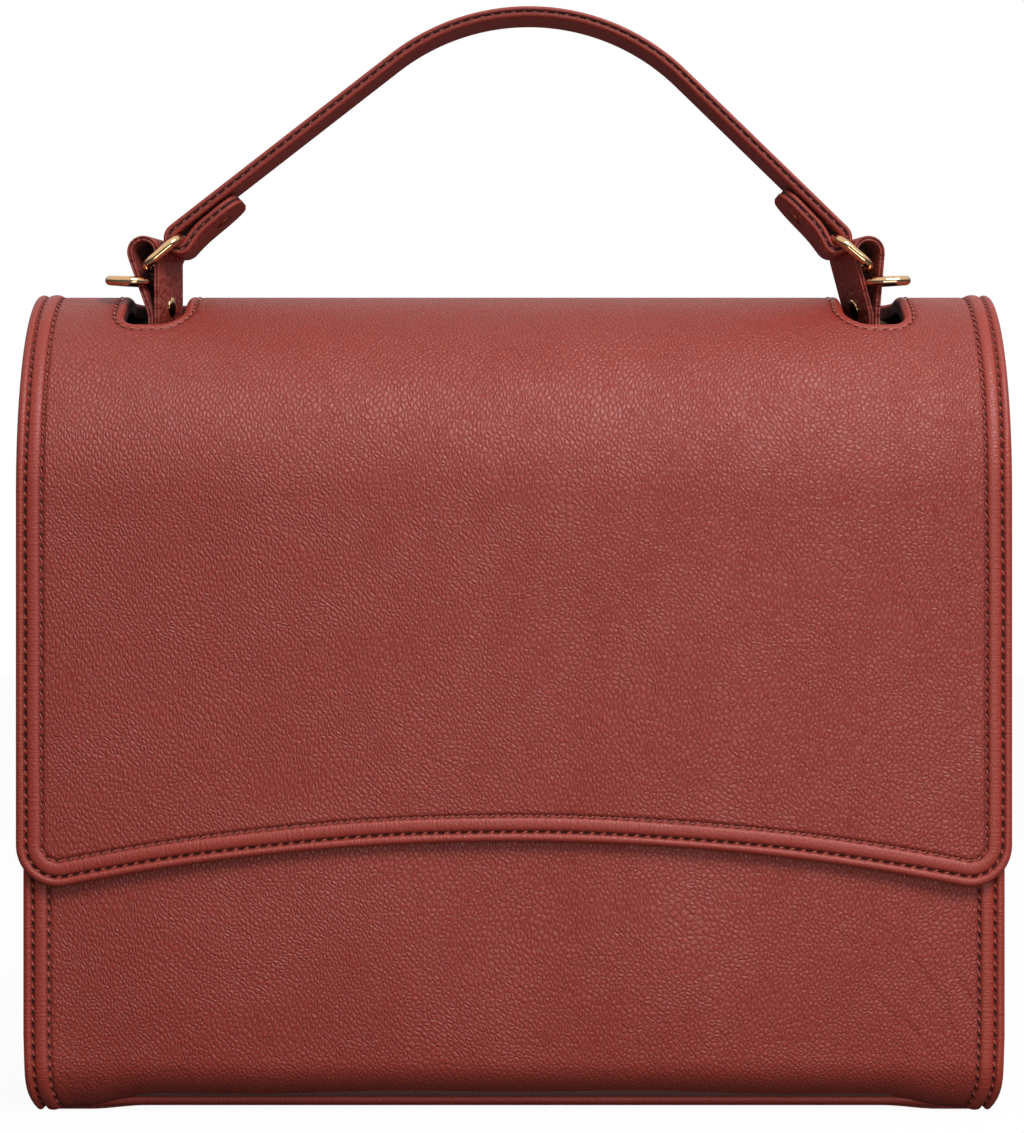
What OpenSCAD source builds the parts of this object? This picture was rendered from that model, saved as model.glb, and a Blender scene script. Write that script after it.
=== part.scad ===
// Leather top handle bag with a wide flap over a rounded crown.
// +Z is up, the front faces -Y, and the origin lies under the middle of the base.
// In the side profiles a point is [y, z]. In the pieces of one side of the bag,
// x is counted outward from the middle, and the left side is the mirror of that.

/* [Bag] */
// Width across the flap and the crown
flap_w = 298; // [270:1:330]
// How far the body stands in from the flap at each side
side_step = 1.75; // [1:0.05:2.5]
// Depth from the flap's face to the back
bag_d = 114; // [106:1:124]
// Height of the ridge of the crown
ridge_h = 250; // [235:1:275]
// Height of the rounded part of the crown
crown_h = 63.6; // [60:0.1:70]
// Radius of the roll along the bottom of the front and the back
base_roll_r = 16; // [14:0.5:18]
// Radius of the body's two bottom corners, seen from the front
body_corner_r = 7; // [4:0.5:10]

/* [Leather] */
// Height of the padded bands above the panels
border_t = 0.8; // [0.5:0.1:1]
// Thickness of the panels
leather_t = 1.4; // [1.2:0.1:1.6]
// Thickness of the linings
lining_t = 1; // [0.7:0.1:1.1]
// Thickness of the gussets
gusset_t = 1.6; // [1.2:0.1:2]
// Thickness of the boards in the base and the crown
board_t = 2; // [1.5:0.1:2.4]
// Thickness of the leather under the base
base_t = 1.6; // [1.4:0.1:1.8]
// Width of the rolled edges
roll_w = 2.9; // [2.4:0.1:3.4]
// Width of the padded bands
band_w = 4.8; // [4:0.1:6]

/* [Flap] */
// Height of the flap's hem at its middle
hem_h = 82.2; // [70:0.1:90]
// Radius of the arch of the hem
hem_r = 685; // [560:1:800]
// Radius of the flap's lower corners
flap_corner_r = 12.5; // [10:0.5:16]
// How far the fold of the flap lies in front of the ridge
fold_y = 38; // [37:0.5:40]
// Height of the magnetic catch
catch_h = 105; // [95:1:120]
// Radius of the magnetic catch
catch_r = 9; // [7:0.5:12]

/* [Slots] */
// Distance of the middle of each slot from the side of the flap
slot_in = 37.2; // [33:0.1:43]
// Width of each slot
slot_w = 20; // [18:0.5:22]
// How far each slot reaches in front of the ridge
slot_front = 27; // [26:0.5:28]
// How far each slot reaches behind the ridge
slot_back = 11; // [10.5:0.5:12]
// Thickness of the leather that lines each slot
facing_t = 1; // [0.6:0.1:1.3]

/* [Handle] */
// Width of the strap and of the lugs, from front to back
strap_w = 22; // [20:0.5:22.5]
// Thickness of one layer of the strap, and of a lug
layer_t = 1.7; // [1.4:0.1:1.8]
// Radius of the top of the arch
arch_r = 70; // [55:1:80]
// Rise of the arch above the bars that carry it
arch_rise = 72; // [66:1:84]
// How far the top of the arch stands to the right
apex_shift = 4.7; // [0:0.1:8]
// Distance of the handle in front of the ridge
handle_y = 8; // [7.5:0.5:8.5]
// Length of each tail of the strap
tail_l = 22; // [18:0.5:26]

/* [Rings] */
// Thickness of the ring wire
wire_d = 3; // [2.4:0.1:3.1]
// Distance between the long bars of a link ring
link_pitch = 14; // [13:0.5:16]
// Distance between the long bars of a side ring
side_pitch = 11.5; // [11:0.5:14]
// Angle of the link rings below level
link_tilt = 41.5; // [36:0.5:48]

/* [Hidden] */
$fn = 48;

// Colours
brick = [0.58, 0.25, 0.23];
dark_brick = [0.44, 0.17, 0.16];
cloth = [0.36, 0.24, 0.22];
board = [0.62, 0.55, 0.45];
gold = [0.86, 0.68, 0.47];
steel = [0.6, 0.6, 0.62];

// Small sizes
overrun = 2;
seat_gap = 0.3;
seam_gap = 0.1;
fold_gap = 0.3;
front_gap = 0.5;
front_rise = 3;
binding_t = 0.6;
welt_r = 1.5;
roll_sweep = 62;
pocket_w = 170;
pocket_h = 100;
pocket_low = 60;
pocket_t = 1.2;
pocket_hem = 6;
magnet_proud = 0.4;
slot_large_r = 8;
slot_small_r = 4;
board_in = 9;
board_back = 34.5;
board_fold_gap = 4.2;
anchor_t = 1.2;
flange_t = 1.4;
flange_w = 16;
flange_rivet_x = 4.5;
rear_flange_gap = 0.2;
rear_flange_l = 9.8;
front_flange_lap = 1.6;
flange_fold_gap = 5.9;
ear_r = 4.5;
ear_shoulder = 1.5;
anchor_drop = 8;
pivot_drop = 19;
pin_r = 1.5;
pin_play = 0.06;
shank_r = 1.2;
head_r = 3.1;
head_t = 0.9;
head_seat = 0.07;
burr_r = 2;
burr_t = 0.4;
slit_w = 0.3;
anchor_slit_w = 1.4;
lug_foot_rise = 7;
lug_toe = 5;
loop_r = 5.1;
left_loop_out = 1;
right_loop_out = -0.3;
loop_up = 5;
loop_bar_rise = 7.1;
left_lean = 2.3;
right_lean = -1.4;
wrap_play = 0.2;
ring_play = 1;
ring_gap = 0.9;
ring_corner_r = 3;
side_ring_lift = 2;
tail_closing = 6;
tail_rivet_l = 14;

// Shares and counts
rivet_share = 0.675;
crown_steps = 24;
corner_steps = 8;
arc_steps = 14;

// Derived sizes
body_w = flap_w - 2 * side_step;
inner_w = body_w - 2 * gusset_t;
slot_x = flap_w / 2 - slot_in;
half_d = bag_d / 2;
spring_h = ridge_h - crown_h;
skin_t = border_t + leather_t;
flap_t = skin_t + lining_t;
front_face = half_d - flap_t - front_gap;
mouth_h = spring_h + front_rise;
lining_top = spring_h - seat_gap;
lining_out = skin_t + seat_gap;
lining_in = lining_out + lining_t;
board_top = flap_t + seam_gap;
anchor_top = board_top + board_t + seam_gap;
fold_angle = crown_angle(-fold_y, 0);
gap_angle = asin(fold_gap / bag_d);
board_back_angle = crown_angle(board_back, board_top);
board_front_angle = crown_angle(board_fold_gap - fold_y, board_top);
rear_flange_angles = [
  crown_angle(slot_back + rear_flange_gap + rear_flange_l, anchor_top),
  crown_angle(slot_back + rear_flange_gap, anchor_top)
];
front_flange_angles = [
  crown_angle(front_flange_lap - slot_front, anchor_top),
  crown_angle(flange_fold_gap - fold_y, anchor_top)
];
welt_seat_r = base_roll_r - border_t - leather_t / 2;
welt_angle = roll_sweep + asin((welt_r + seam_gap) / welt_seat_r);
welt_in = base_roll_r - welt_seat_r * cos(welt_angle);
welt_h = base_roll_r - welt_seat_r * sin(welt_angle);
base_front = welt_in + welt_r + seam_gap - front_face;
base_back = half_d - welt_in - welt_r - seam_gap;
pivot_h = ridge_h - pivot_drop;
wire_r = wire_d / 2;
ring_l = strap_w + 2 * ring_play + wire_d;
wrap_r = wire_r + wrap_play + 2 * layer_t;
lug_foot_w = 2 * layer_t + slit_w;
anchor_rivet_depth = anchor_top + flange_t + head_seat + head_t;

// Places of the bars, [x outward, z]
function lean(side) = side < 0 ? left_lean : right_lean;
function loop_bar(side) = [slot_x + lean(side), ridge_h + loop_bar_rise];
function link_bar(side) = loop_bar(side) + link_pitch * [-cos(link_tilt), sin(link_tilt)];
function side_bar(side) = loop_bar(side) - [0, wire_d + ring_gap];
function reach(side) = link_bar(side)[0] - side * apex_shift;
apex_h = link_bar(1)[1] + arch_rise;

// A direction at an angle from the outward axis
function heading(a) = [cos(a), sin(a)];
function reversed(points) = [for (i = [len(points) - 1:-1:0]) points[i]];
function mirrored(points) = [for (p = points) [-p[0], p[1]]];

// The angle round the crown, counted from its back, at a distance behind the middle
function crown_angle(y, depth) = acos(y / (half_d - depth));
// A point of the crown's ellipse, at a depth below its outside
function crown_point(a, depth) = [(half_d - depth) * cos(a), spring_h + (crown_h - depth) * sin(a)];
// The direction square to the ellipse at such a point
function crown_facing(a, depth) = atan2((half_d - depth) * sin(a), (crown_h - depth) * cos(a));
function crown_line(from, to, depth) =
  [for (i = [0:crown_steps]) crown_point(from + (to - from) * i / crown_steps, depth)];
function crown_band(from, to, top, under) =
  concat(crown_line(from, to, top), reversed(crown_line(from, to, under)));
function flap_line(depth) =
  concat(crown_line(fold_angle + gap_angle, 180, depth), [[depth - half_d, 0]]);
function flap_band(top, under) = concat(flap_line(top), reversed(flap_line(under)));

// A wall that drops straight and rolls under, as [distance from the middle, z]
function wall_line(face, top, depth) =
  concat([[face - depth, top]], [for (i = [0:corner_steps])
    [face - base_roll_r, base_roll_r]
      + (base_roll_r - depth) * heading(-roll_sweep * i / corner_steps)]);
function wall_band(face, top, outer, inner) =
  concat(wall_line(face, top, outer), reversed(wall_line(face, top, inner)));
// The space between the front and the back wall
function tub_points(top, depth) =
  concat(mirrored(reversed(wall_line(front_face, top, depth))), wall_line(half_d, top, depth));

// Outline of the flap from the front, drawn in by an inset
function flap_outline(inset) =
  let(
    arch_z = hem_h - hem_r,
    corner_x = flap_w / 2 - flap_corner_r,
    corner_z = arch_z + sqrt(pow(hem_r + flap_corner_r, 2) - pow(corner_x, 2)),
    arch_angle = atan2(corner_z - arch_z, corner_x),
    turn = 180 - arch_angle,
    corner = [for (i = [0:corner_steps])
      [corner_x, corner_z] + (flap_corner_r - inset) * heading(-turn * i / corner_steps)],
    half_arch = [for (i = [1:crown_steps / 2])
      [0, arch_z] + (hem_r + inset) * heading(arch_angle + (90 - arch_angle) * 2 * i / crown_steps)],
    half = concat([[flap_w / 2 - inset, 2 * ridge_h]], corner, half_arch)
  )
  concat(half, mirrored(reversed([for (i = [0:len(half) - 2]) half[i]])));

// Outline of the body from the front, with its round bottom corners
function body_outline() =
  let(
    corner = [for (i = [0:corner_steps])
      [body_w / 2 - body_corner_r, body_corner_r] + body_corner_r * heading(-90 * i / corner_steps)],
    half = concat([[body_w / 2, 2 * ridge_h]], corner)
  )
  concat(half, mirrored(reversed(half)));

// Outline of a slot from above, let out by a growth
function round_corner(x, y, r, from) =
  [for (i = [0:corner_steps]) [x, y] + r * heading(from + 90 * i / corner_steps)];
function slot_outline(growth) =
  let(
    small_r = slot_small_r + growth,
    large_r = slot_large_r + growth,
    inner_x = slot_x - slot_w / 2 - growth,
    outer_x = slot_x + slot_w / 2 + growth,
    front = -slot_front - growth,
    back = slot_back + growth
  )
  concat(
    round_corner(outer_x - small_r, back - small_r, small_r, 0),
    round_corner(inner_x + small_r, back - small_r, small_r, 90),
    round_corner(inner_x + large_r, front + large_r, large_r, 180),
    round_corner(outer_x - small_r, front + small_r, small_r, 270)
  );

// Fall of the arch from its top to a bar, for a flank angle
function arch_fall(reach, angle) =
  arch_r * (1 - cos(angle)) + wrap_r * cos(angle)
    + (reach - (arch_r - wrap_r) * sin(angle)) * tan(angle);
function flank_angle(reach, low = 15, high = 65, passes = 24) =
  let(middle = (low + high) / 2)
  passes == 0 ? middle
    : arch_fall(reach, middle) < arch_rise
      ? flank_angle(reach, middle, high, passes - 1)
      : flank_angle(reach, low, middle, passes - 1);
// Half of the strap, from the top of the arch round the bar to the tail's tip
function half_strap(side, depth) =
  let(
    flank = flank_angle(reach(side)),
    bar = link_bar(side) - [side * apex_shift, 0],
    crown = [for (i = [0:arc_steps])
      [0, apex_h - arch_r] + (arch_r - depth) * heading(90 - flank * i / arc_steps)],
    wrap = [for (i = [0:arc_steps])
      bar + (wrap_r - depth) * heading(90 - flank - (180 + tail_closing) * i / arc_steps)],
    tip = wrap[arc_steps] + tail_l * tail_heading(side)
  )
  [for (p = concat(crown, wrap, [tip])) [side * p[0] + apex_shift, p[1]]];
function tail_heading(side) = heading(180 - flank_angle(reach(side)) - tail_closing);
function strap_line(depth) =
  let(left = half_strap(-1, depth))
  concat(reversed([for (i = [1:len(left) - 1]) left[i]]), half_strap(1, depth));

// A loop of radius r that runs straight to a foot of half width h
function teardrop(centre, r, foot, h) =
  let(
    v = foot - centre,
    down = atan2(v[1], v[0]),
    k = acos((r - h) / norm(v))
  )
  concat(
    [foot + h * heading(down + k)],
    [for (i = [0:2 * arc_steps]) centre + r * heading(down + k + (360 - 2 * k) * i / (2 * arc_steps))],
    [foot + h * heading(down - k)]
  );

// A side profile carried across the bag
module across(width, points) {
  rotate([90, 0, 90])
    translate([0, 0, -width / 2])
      linear_extrude(height = width)
        polygon(points);
}

// The same between two distances from the middle, on one side
module side_strip(side, from, to, points) {
  translate([side * (from + to) / 2, 0, 0])
    across(to - from, points);
}

// A front outline carried through the whole depth
module through(points) {
  rotate([90, 0, 0])
    linear_extrude(height = 2 * bag_d, center = true)
      polygon(points);
}

// An outline of the handle carried across the strap's width
module strap_wide(points, width = strap_w) {
  translate([0, width / 2 - handle_y, 0])
    rotate([90, 0, 0])
      linear_extrude(height = width)
        polygon(points);
}

// Pieces drawn outward on the right, mirrored for the left
module on_side(side) {
  if (side < 0)
    mirror([1, 0, 0])
      children();
  else
    children();
}

// Keeps a body piece inside the round bottom corners
module body_round() {
  intersection() {
    children();
    through(body_outline());
  }
}

// A place on the crown with its local z square to the leather
module on_crown(x, angle, depth) {
  p = crown_point(angle, depth);
  translate([x, p[0], p[1]])
    rotate([crown_facing(angle, depth) - 90, 0, 0])
      children();
}

// A place in the handle's plane with its local z along an angle
module at_strap(p, angle) {
  translate([p[0], -handle_y, p[1]])
    rotate([0, 90 - angle, 0])
      children();
}

module slot_prism(growth) {
  translate([0, 0, spring_h])
    linear_extrude(height = crown_h + overrun)
      polygon(slot_outline(growth));
}

module both_slots(growth) {
  for (side = [-1, 1])
    on_side(side)
      slot_prism(growth);
}

// Body of the bag

module front_panel() {
  color(brick)
    difference() {
      across(body_w - 2 * roll_w, mirrored(wall_band(front_face, mouth_h, border_t, skin_t)));
      catch_disc(front_face - skin_t - overrun, front_face);
    }
}

module back_panel() {
  color(brick)
    across(body_w - 2 * roll_w, wall_band(half_d, spring_h, border_t, skin_t));
}

module band(side, points) {
  color(brick)
    side_strip(side, body_w / 2 - roll_w - band_w, body_w / 2 - roll_w, points);
}

module piping(side, points) {
  color(brick)
    body_round()
      side_strip(side, body_w / 2 - roll_w, body_w / 2, points);
}

module gusset(side) {
  front = front_face - skin_t;
  top = flap_t + seat_gap;
  front_angle = acos(-front / (half_d - top));
  corner_z = crown_point(front_angle, top)[1];
  outline = concat(
    mirrored(reversed(wall_line(front_face, corner_z, skin_t))),
    reversed(crown_line(0, front_angle, top)),
    wall_line(half_d, spring_h, skin_t)
  );
  color(dark_brick)
    body_round()
      side_strip(side, body_w / 2 - gusset_t, body_w / 2, outline);
}

module base_panel() {
  color(dark_brick)
    body_round()
      translate([-body_w / 2, base_front, 0])
        cube([body_w, base_back - base_front, base_t]);
}

module base_board() {
  color(board)
    translate([-inner_w / 2 + body_corner_r, base_front, base_t])
      cube([inner_w - 2 * body_corner_r, base_back - base_front, board_t]);
}

module base_welt(y) {
  color(dark_brick)
    translate([0, y, welt_h])
      rotate([0, 90, 0])
        cylinder(h = body_w - 2 * body_corner_r, r = welt_r, center = true);
}

module bag_lining() {
  color(cloth)
    difference() {
      across(inner_w, tub_points(lining_top, lining_out));
      across(inner_w - 2 * lining_t, tub_points(lining_top + overrun, lining_in));
    }
}

module slip_pocket() {
  wall = half_d - lining_in;
  color(cloth)
    difference() {
      translate([-pocket_w / 2, wall - 2 * pocket_t, pocket_low])
        cube([pocket_w, 2 * pocket_t, pocket_h]);
      translate([pocket_hem - pocket_w / 2, wall - pocket_t, pocket_low + pocket_hem])
        cube([pocket_w - 2 * pocket_hem, pocket_t + overrun, pocket_h]);
    }
}

module mouth_binding() {
  outer = front_face - border_t + binding_t;
  inner = front_face - skin_t - binding_t;
  width = body_w - 2 * (roll_w + band_w);
  color(dark_brick)
    translate([-width / 2, 0, 0])
      difference() {
        translate([0, -outer, spring_h])
          cube([width, outer - inner, front_rise + binding_t]);
        translate([-overrun, border_t - front_face, spring_h - overrun])
          cube([width + 2 * overrun, leather_t, front_rise + overrun]);
      }
}

// A disc of the catch, between two distances in front of the middle
module catch_disc(from, to) {
  translate([0, -from, catch_h])
    rotate([90, 0, 0])
      cylinder(h = to - from, r = catch_r);
}

module catch_socket() {
  color(gold)
    catch_disc(front_face - skin_t, front_face - border_t + magnet_proud);
}

// Crown

module crown_layer(width, top, under) {
  difference() {
    across(width, crown_band(0, fold_angle - gap_angle, top, under));
    both_slots(facing_t);
  }
}

module crown_panel() {
  color(brick)
    crown_layer(flap_w - 2 * roll_w, border_t, skin_t);
}

module crown_lining() {
  color(cloth)
    crown_layer(flap_w - 2 * roll_w, skin_t, flap_t);
}

module crown_board() {
  color(board)
    difference() {
      across(flap_w - 2 * board_in,
        crown_band(board_back_angle, board_front_angle, board_top, board_top + board_t));
      both_slots(facing_t);
      for (side = [-1, 1])
        on_side(side)
          anchor_shanks();
    }
}

module crown_border(side) {
  color(brick)
    side_strip(side, flap_w / 2 - roll_w - band_w, flap_w / 2 - roll_w,
      crown_band(0, fold_angle - gap_angle, 0, border_t));
}

module crown_edge(side) {
  color(brick)
    side_strip(side, flap_w / 2 - roll_w, flap_w / 2,
      crown_band(0, fold_angle - gap_angle, 0, flap_t));
}

module slot_facing(side) {
  color(brick)
    on_side(side)
      intersection() {
        across(flap_w, crown_band(board_back_angle, board_front_angle, border_t, board_top + board_t));
        difference() {
          slot_prism(facing_t);
          slot_prism(0);
        }
      }
}

// Anchor under the crown: a steel web with an ear for the pin and two flanges
module handle_anchor(side) {
  depth = anchor_top;
  front = crown_line(front_flange_angles[1], front_flange_angles[0], depth);
  rear = crown_line(rear_flange_angles[1], rear_flange_angles[0], depth);
  shoulder_z = pivot_h - ear_shoulder;
  front_y = front[crown_steps][0];
  ear = [for (i = [0:arc_steps]) [-handle_y, pivot_h] + ear_r * heading(180 - 180 * i / arc_steps)];
  web = concat(
    front, [[front_y, shoulder_z], [-handle_y - ear_r, shoulder_z]],
    ear, [[ear_r - handle_y, shoulder_z], [rear[0][0], shoulder_z]],
    rear, [[rear[crown_steps][0], pivot_h - anchor_drop], [front[0][0], pivot_h - anchor_drop]]
  );
  color(steel)
    on_side(side)
      difference() {
        union() {
          side_strip(1, slot_x - anchor_t / 2, slot_x + anchor_t / 2, web);
          for (angles = [front_flange_angles, rear_flange_angles])
            side_strip(1, slot_x - flange_w / 2, slot_x + flange_w / 2,
              crown_band(angles[0], angles[1], depth, depth + flange_t));
        }
        pin_bore(pin_r + pin_play);
        anchor_shanks();
      }
}

module pin_bore(r) {
  translate([slot_x, -handle_y, pivot_h])
    rotate([0, 90, 0])
      cylinder(h = slot_w, r = r, center = true);
}

// The four rivets of an anchor stand square to the crown
module on_anchor_rivets(depth) {
  for (angles = [front_flange_angles, rear_flange_angles])
    for (x = [slot_x - flange_rivet_x, slot_x + flange_rivet_x])
      on_crown(x, (angles[0] + angles[1]) / 2, depth)
        children();
}

module anchor_shanks() {
  on_anchor_rivets(anchor_rivet_depth)
    cylinder(h = anchor_rivet_depth - board_top, r = shank_r);
}

module anchor_rivets(side) {
  color(steel)
    on_side(side) {
      anchor_shanks();
      on_anchor_rivets(anchor_rivet_depth)
        cylinder(h = head_t, r = burr_r);
    }
}

// Flap

module flap_panel() {
  color(brick)
    intersection() {
      across(flap_w, flap_band(border_t, skin_t));
      through(flap_outline(roll_w));
    }
}

module flap_border() {
  color(brick)
    intersection() {
      across(flap_w, flap_band(0, border_t));
      difference() {
        through(flap_outline(roll_w));
        through(flap_outline(roll_w + band_w));
      }
    }
}

module flap_edge() {
  color(brick)
    intersection() {
      across(flap_w, flap_band(0, flap_t));
      difference() {
        through(flap_outline(0));
        through(flap_outline(roll_w));
      }
    }
}

module flap_lining() {
  color(cloth)
    difference() {
      intersection() {
        across(flap_w, flap_band(skin_t, flap_t));
        through(flap_outline(roll_w));
      }
      catch_disc(half_d - flap_t - overrun, half_d);
    }
}

module catch_magnet() {
  color(gold)
    catch_disc(half_d - flap_t - magnet_proud, half_d - skin_t);
}

// Handle

module strap_layer(top, under) {
  color(brick)
    difference() {
      strap_wide(concat(strap_line(top), reversed(strap_line(under))));
      for (side = [-1, 1])
        tail_shank(side);
    }
}

module strap_top_layer() {
  strap_layer(0, layer_t);
}

module strap_under_layer() {
  strap_layer(layer_t, 2 * layer_t);
}

// The rivet of a tail stands square to it and ends in the strap's under layer
module on_tail(side, depth) {
  flank = flank_angle(reach(side));
  out = 270 - flank - tail_closing;
  p = link_bar(side) + (wrap_r - depth) * heading(out) + tail_rivet_l * tail_heading(side);
  on_side(side)
    at_strap(p, out + 180)
      children();
}

module tail_shank(side, proud = 0) {
  space = 2 * (wrap_r - 2 * layer_t) - tail_rivet_l * sin(tail_closing);
  on_tail(side, -proud)
    cylinder(h = 2 * layer_t + space + layer_t / 2 + proud, r = shank_r);
}

module tail_rivet(side) {
  color(gold) {
    tail_shank(side, head_t);
    on_tail(side, -head_t)
      cylinder(h = head_t, r = head_r);
  }
}

function lug_foot() = [slot_x, pivot_h + lug_foot_rise];
function loop_out(side) = side < 0 ? left_loop_out : right_loop_out;
function lug_centre(side) = loop_bar(side) + [loop_out(side), loop_up];
// Angle at which a side of the lug faces, as the leather runs straight to the foot
function lug_facing(side) =
  let(v = lug_foot() - lug_centre(side))
  atan2(v[1], v[0]) - acos((loop_r - lug_foot_w / 2) / norm(v));

// The lug rivet sits on the straight stretch that faces the middle of the bag
module on_lug(side, depth) {
  out = heading(lug_facing(side));
  p = lug_centre(side) * (1 - rivet_share) + lug_foot() * rivet_share
    + (loop_r * (1 - rivet_share) + lug_foot_w / 2 * rivet_share - depth) * out;
  at_strap(p, lug_facing(side))
    children();
}

module lug(side) {
  foot = lug_foot();
  centre = lug_centre(side);
  low = pivot_h - lug_toe;
  loop = teardrop(centre, loop_r, foot, lug_foot_w / 2);
  outline = concat(loop, [[slot_x - lug_foot_w / 2, low], [slot_x + lug_foot_w / 2, low]]);
  color(dark_brick)
    on_side(side)
      difference() {
        strap_wide(outline);
        strap_wide(teardrop(centre, loop_r - layer_t, foot, slit_w / 2), strap_w + overrun);
        lug_slit(slit_w, foot[1]);
        lug_slit(anchor_slit_w, pivot_h + lug_toe);
        pin_bore(pin_r);
        on_lug(side, layer_t + burr_t)
          cylinder(h = burr_t + layer_t + overrun, r = shank_r);
      }
}

// Cut between the two legs of a lug, up to a height
module lug_slit(width, top) {
  low = pivot_h - lug_toe - overrun;
  translate([slot_x - width / 2, -handle_y - strap_w, low])
    cube([width, 2 * strap_w, top - low]);
}

module lug_rivet(side) {
  color(gold)
    on_side(side) {
      on_lug(side, layer_t + burr_t)
        cylinder(h = burr_t + layer_t + head_t, r = shank_r);
      on_lug(side, 0)
        cylinder(h = head_t, r = head_r);
      on_lug(side, layer_t + burr_t)
        cylinder(h = burr_t, r = burr_r);
    }
}

module lug_pin(side) {
  color(steel)
    on_side(side)
      translate([slot_x, -handle_y, pivot_h])
        rotate([0, 90, 0]) {
          cylinder(h = lug_foot_w + 2 * head_t, r = pin_r, center = true);
          for (end = [-1, 1])
            translate([0, 0, end * (lug_foot_w + head_t) / 2])
              cylinder(h = head_t, r = head_r, center = true);
        }
}

// Rings: two long bars, two short ones and round corners, with one long bar at x = 0
module ring(pitch) {
  corner_x = pitch / 2 - ring_corner_r;
  corner_y = ring_l / 2 - ring_corner_r;
  color(gold)
    translate([pitch / 2, 0, 0]) {
      for (end = [-1, 1]) {
        translate([end * pitch / 2, 0, 0])
          rotate([90, 0, 0])
            cylinder(h = 2 * corner_y, r = wire_r, center = true);
        translate([0, end * ring_l / 2, 0])
          rotate([0, 90, 0])
            cylinder(h = 2 * corner_x, r = wire_r, center = true);
      }
      for (quarter = [0:3])
        mirror([quarter % 2, 0, 0])
          mirror([0, quarter > 1 ? 1 : 0, 0])
            translate([corner_x, corner_y, 0])
              rotate_extrude(angle = 90)
                translate([ring_corner_r, 0])
                  circle(r = wire_r);
    }
}

module placed_ring(side, bar, tilt, pitch) {
  on_side(side)
    translate([bar[0], -handle_y, bar[1]])
      rotate([0, tilt, 0])
        ring(pitch);
}

module link_ring(side) {
  placed_ring(side, link_bar(side), link_tilt, link_pitch);
}

module side_ring(side) {
  placed_ring(side, side_bar(side), -side_ring_lift, side_pitch);
}

front_panel();
band(-1, mirrored(wall_band(front_face, mouth_h, 0, border_t)));  // left_front_band
band(1, mirrored(wall_band(front_face, mouth_h, 0, border_t)));  // right_front_band
piping(-1, mirrored(wall_band(front_face, mouth_h, 0, skin_t)));  // left_front_piping
piping(1, mirrored(wall_band(front_face, mouth_h, 0, skin_t)));  // right_front_piping
back_panel();
band(-1, wall_band(half_d, spring_h, 0, border_t));  // left_back_band
band(1, wall_band(half_d, spring_h, 0, border_t));  // right_back_band
piping(-1, wall_band(half_d, spring_h, 0, skin_t));  // left_back_piping
piping(1, wall_band(half_d, spring_h, 0, skin_t));  // right_back_piping
gusset(-1);  // left_gusset
gusset(1);  // right_gusset
base_panel();
base_board();
base_welt(welt_in - front_face);  // front_base_welt
base_welt(half_d - welt_in);  // rear_base_welt
bag_lining();
slip_pocket();
mouth_binding();
catch_socket();
crown_panel();
crown_lining();
crown_board();
crown_border(-1);  // left_crown_border
crown_border(1);  // right_crown_border
crown_edge(-1);  // left_crown_edge
crown_edge(1);  // right_crown_edge
slot_facing(-1);  // left_slot_facing
slot_facing(1);  // right_slot_facing
handle_anchor(-1);  // left_handle_anchor
handle_anchor(1);  // right_handle_anchor
anchor_rivets(-1);  // left_anchor_rivets
anchor_rivets(1);  // right_anchor_rivets
flap_panel();
flap_border();
flap_edge();
flap_lining();
catch_magnet();
strap_top_layer();
strap_under_layer();
tail_rivet(-1);  // left_tail_rivet
tail_rivet(1);  // right_tail_rivet
lug(-1);  // left_lug
lug(1);  // right_lug
lug_rivet(-1);  // left_lug_rivet
lug_rivet(1);  // right_lug_rivet
lug_pin(-1);  // left_lug_pin
lug_pin(1);  // right_lug_pin
link_ring(-1);  // left_link_ring
link_ring(1);  // right_link_ring
side_ring(-1);  // left_side_ring
side_ring(1);  // right_side_ring
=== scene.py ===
"""A leather top handle bag: panels, stitching, handle, rings and finishes, built round the fixed frame."""

import logging
import math
from dataclasses import dataclass, field
from enum import Enum
from typing import Any, Sequence

import bpy
import numpy as np
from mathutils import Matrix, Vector
from numpy.typing import NDArray

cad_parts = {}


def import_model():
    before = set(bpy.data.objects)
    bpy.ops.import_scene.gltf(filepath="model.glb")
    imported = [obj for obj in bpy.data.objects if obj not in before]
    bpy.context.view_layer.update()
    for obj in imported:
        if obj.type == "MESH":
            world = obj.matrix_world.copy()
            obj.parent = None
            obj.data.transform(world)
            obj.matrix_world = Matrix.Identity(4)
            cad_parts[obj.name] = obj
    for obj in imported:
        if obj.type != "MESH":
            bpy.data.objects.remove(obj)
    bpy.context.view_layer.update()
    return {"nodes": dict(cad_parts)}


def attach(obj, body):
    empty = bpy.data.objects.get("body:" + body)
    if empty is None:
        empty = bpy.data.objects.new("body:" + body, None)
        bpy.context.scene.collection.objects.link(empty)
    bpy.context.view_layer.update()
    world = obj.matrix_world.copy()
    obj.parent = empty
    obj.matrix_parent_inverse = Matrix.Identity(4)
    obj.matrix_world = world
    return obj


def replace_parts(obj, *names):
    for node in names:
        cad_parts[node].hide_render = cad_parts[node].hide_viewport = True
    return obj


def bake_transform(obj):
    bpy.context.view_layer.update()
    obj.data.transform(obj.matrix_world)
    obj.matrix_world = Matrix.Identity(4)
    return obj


Array = NDArray[np.float64]
Numbers = NDArray[np.int64]
Values = Array | float
Pair = tuple[float, float]
Colour = tuple[float, float, float, float]
Material = bpy.types.Material
Socket = bpy.types.NodeSocket
LOG = logging.getLogger("bag")
MM = 0.001
WHITE = (1.0, 1.0, 1.0, 1.0)
RIGHTWARD, BACKWARD, UPWARD = np.eye(3)


class Side(Enum):
    """The two sides of the bag, seen from the front."""

    LEFT = -1
    RIGHT = 1

    @property
    def word(self) -> str:
        """The side's name as the frame writes it."""
        return self.name.lower()


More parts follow.
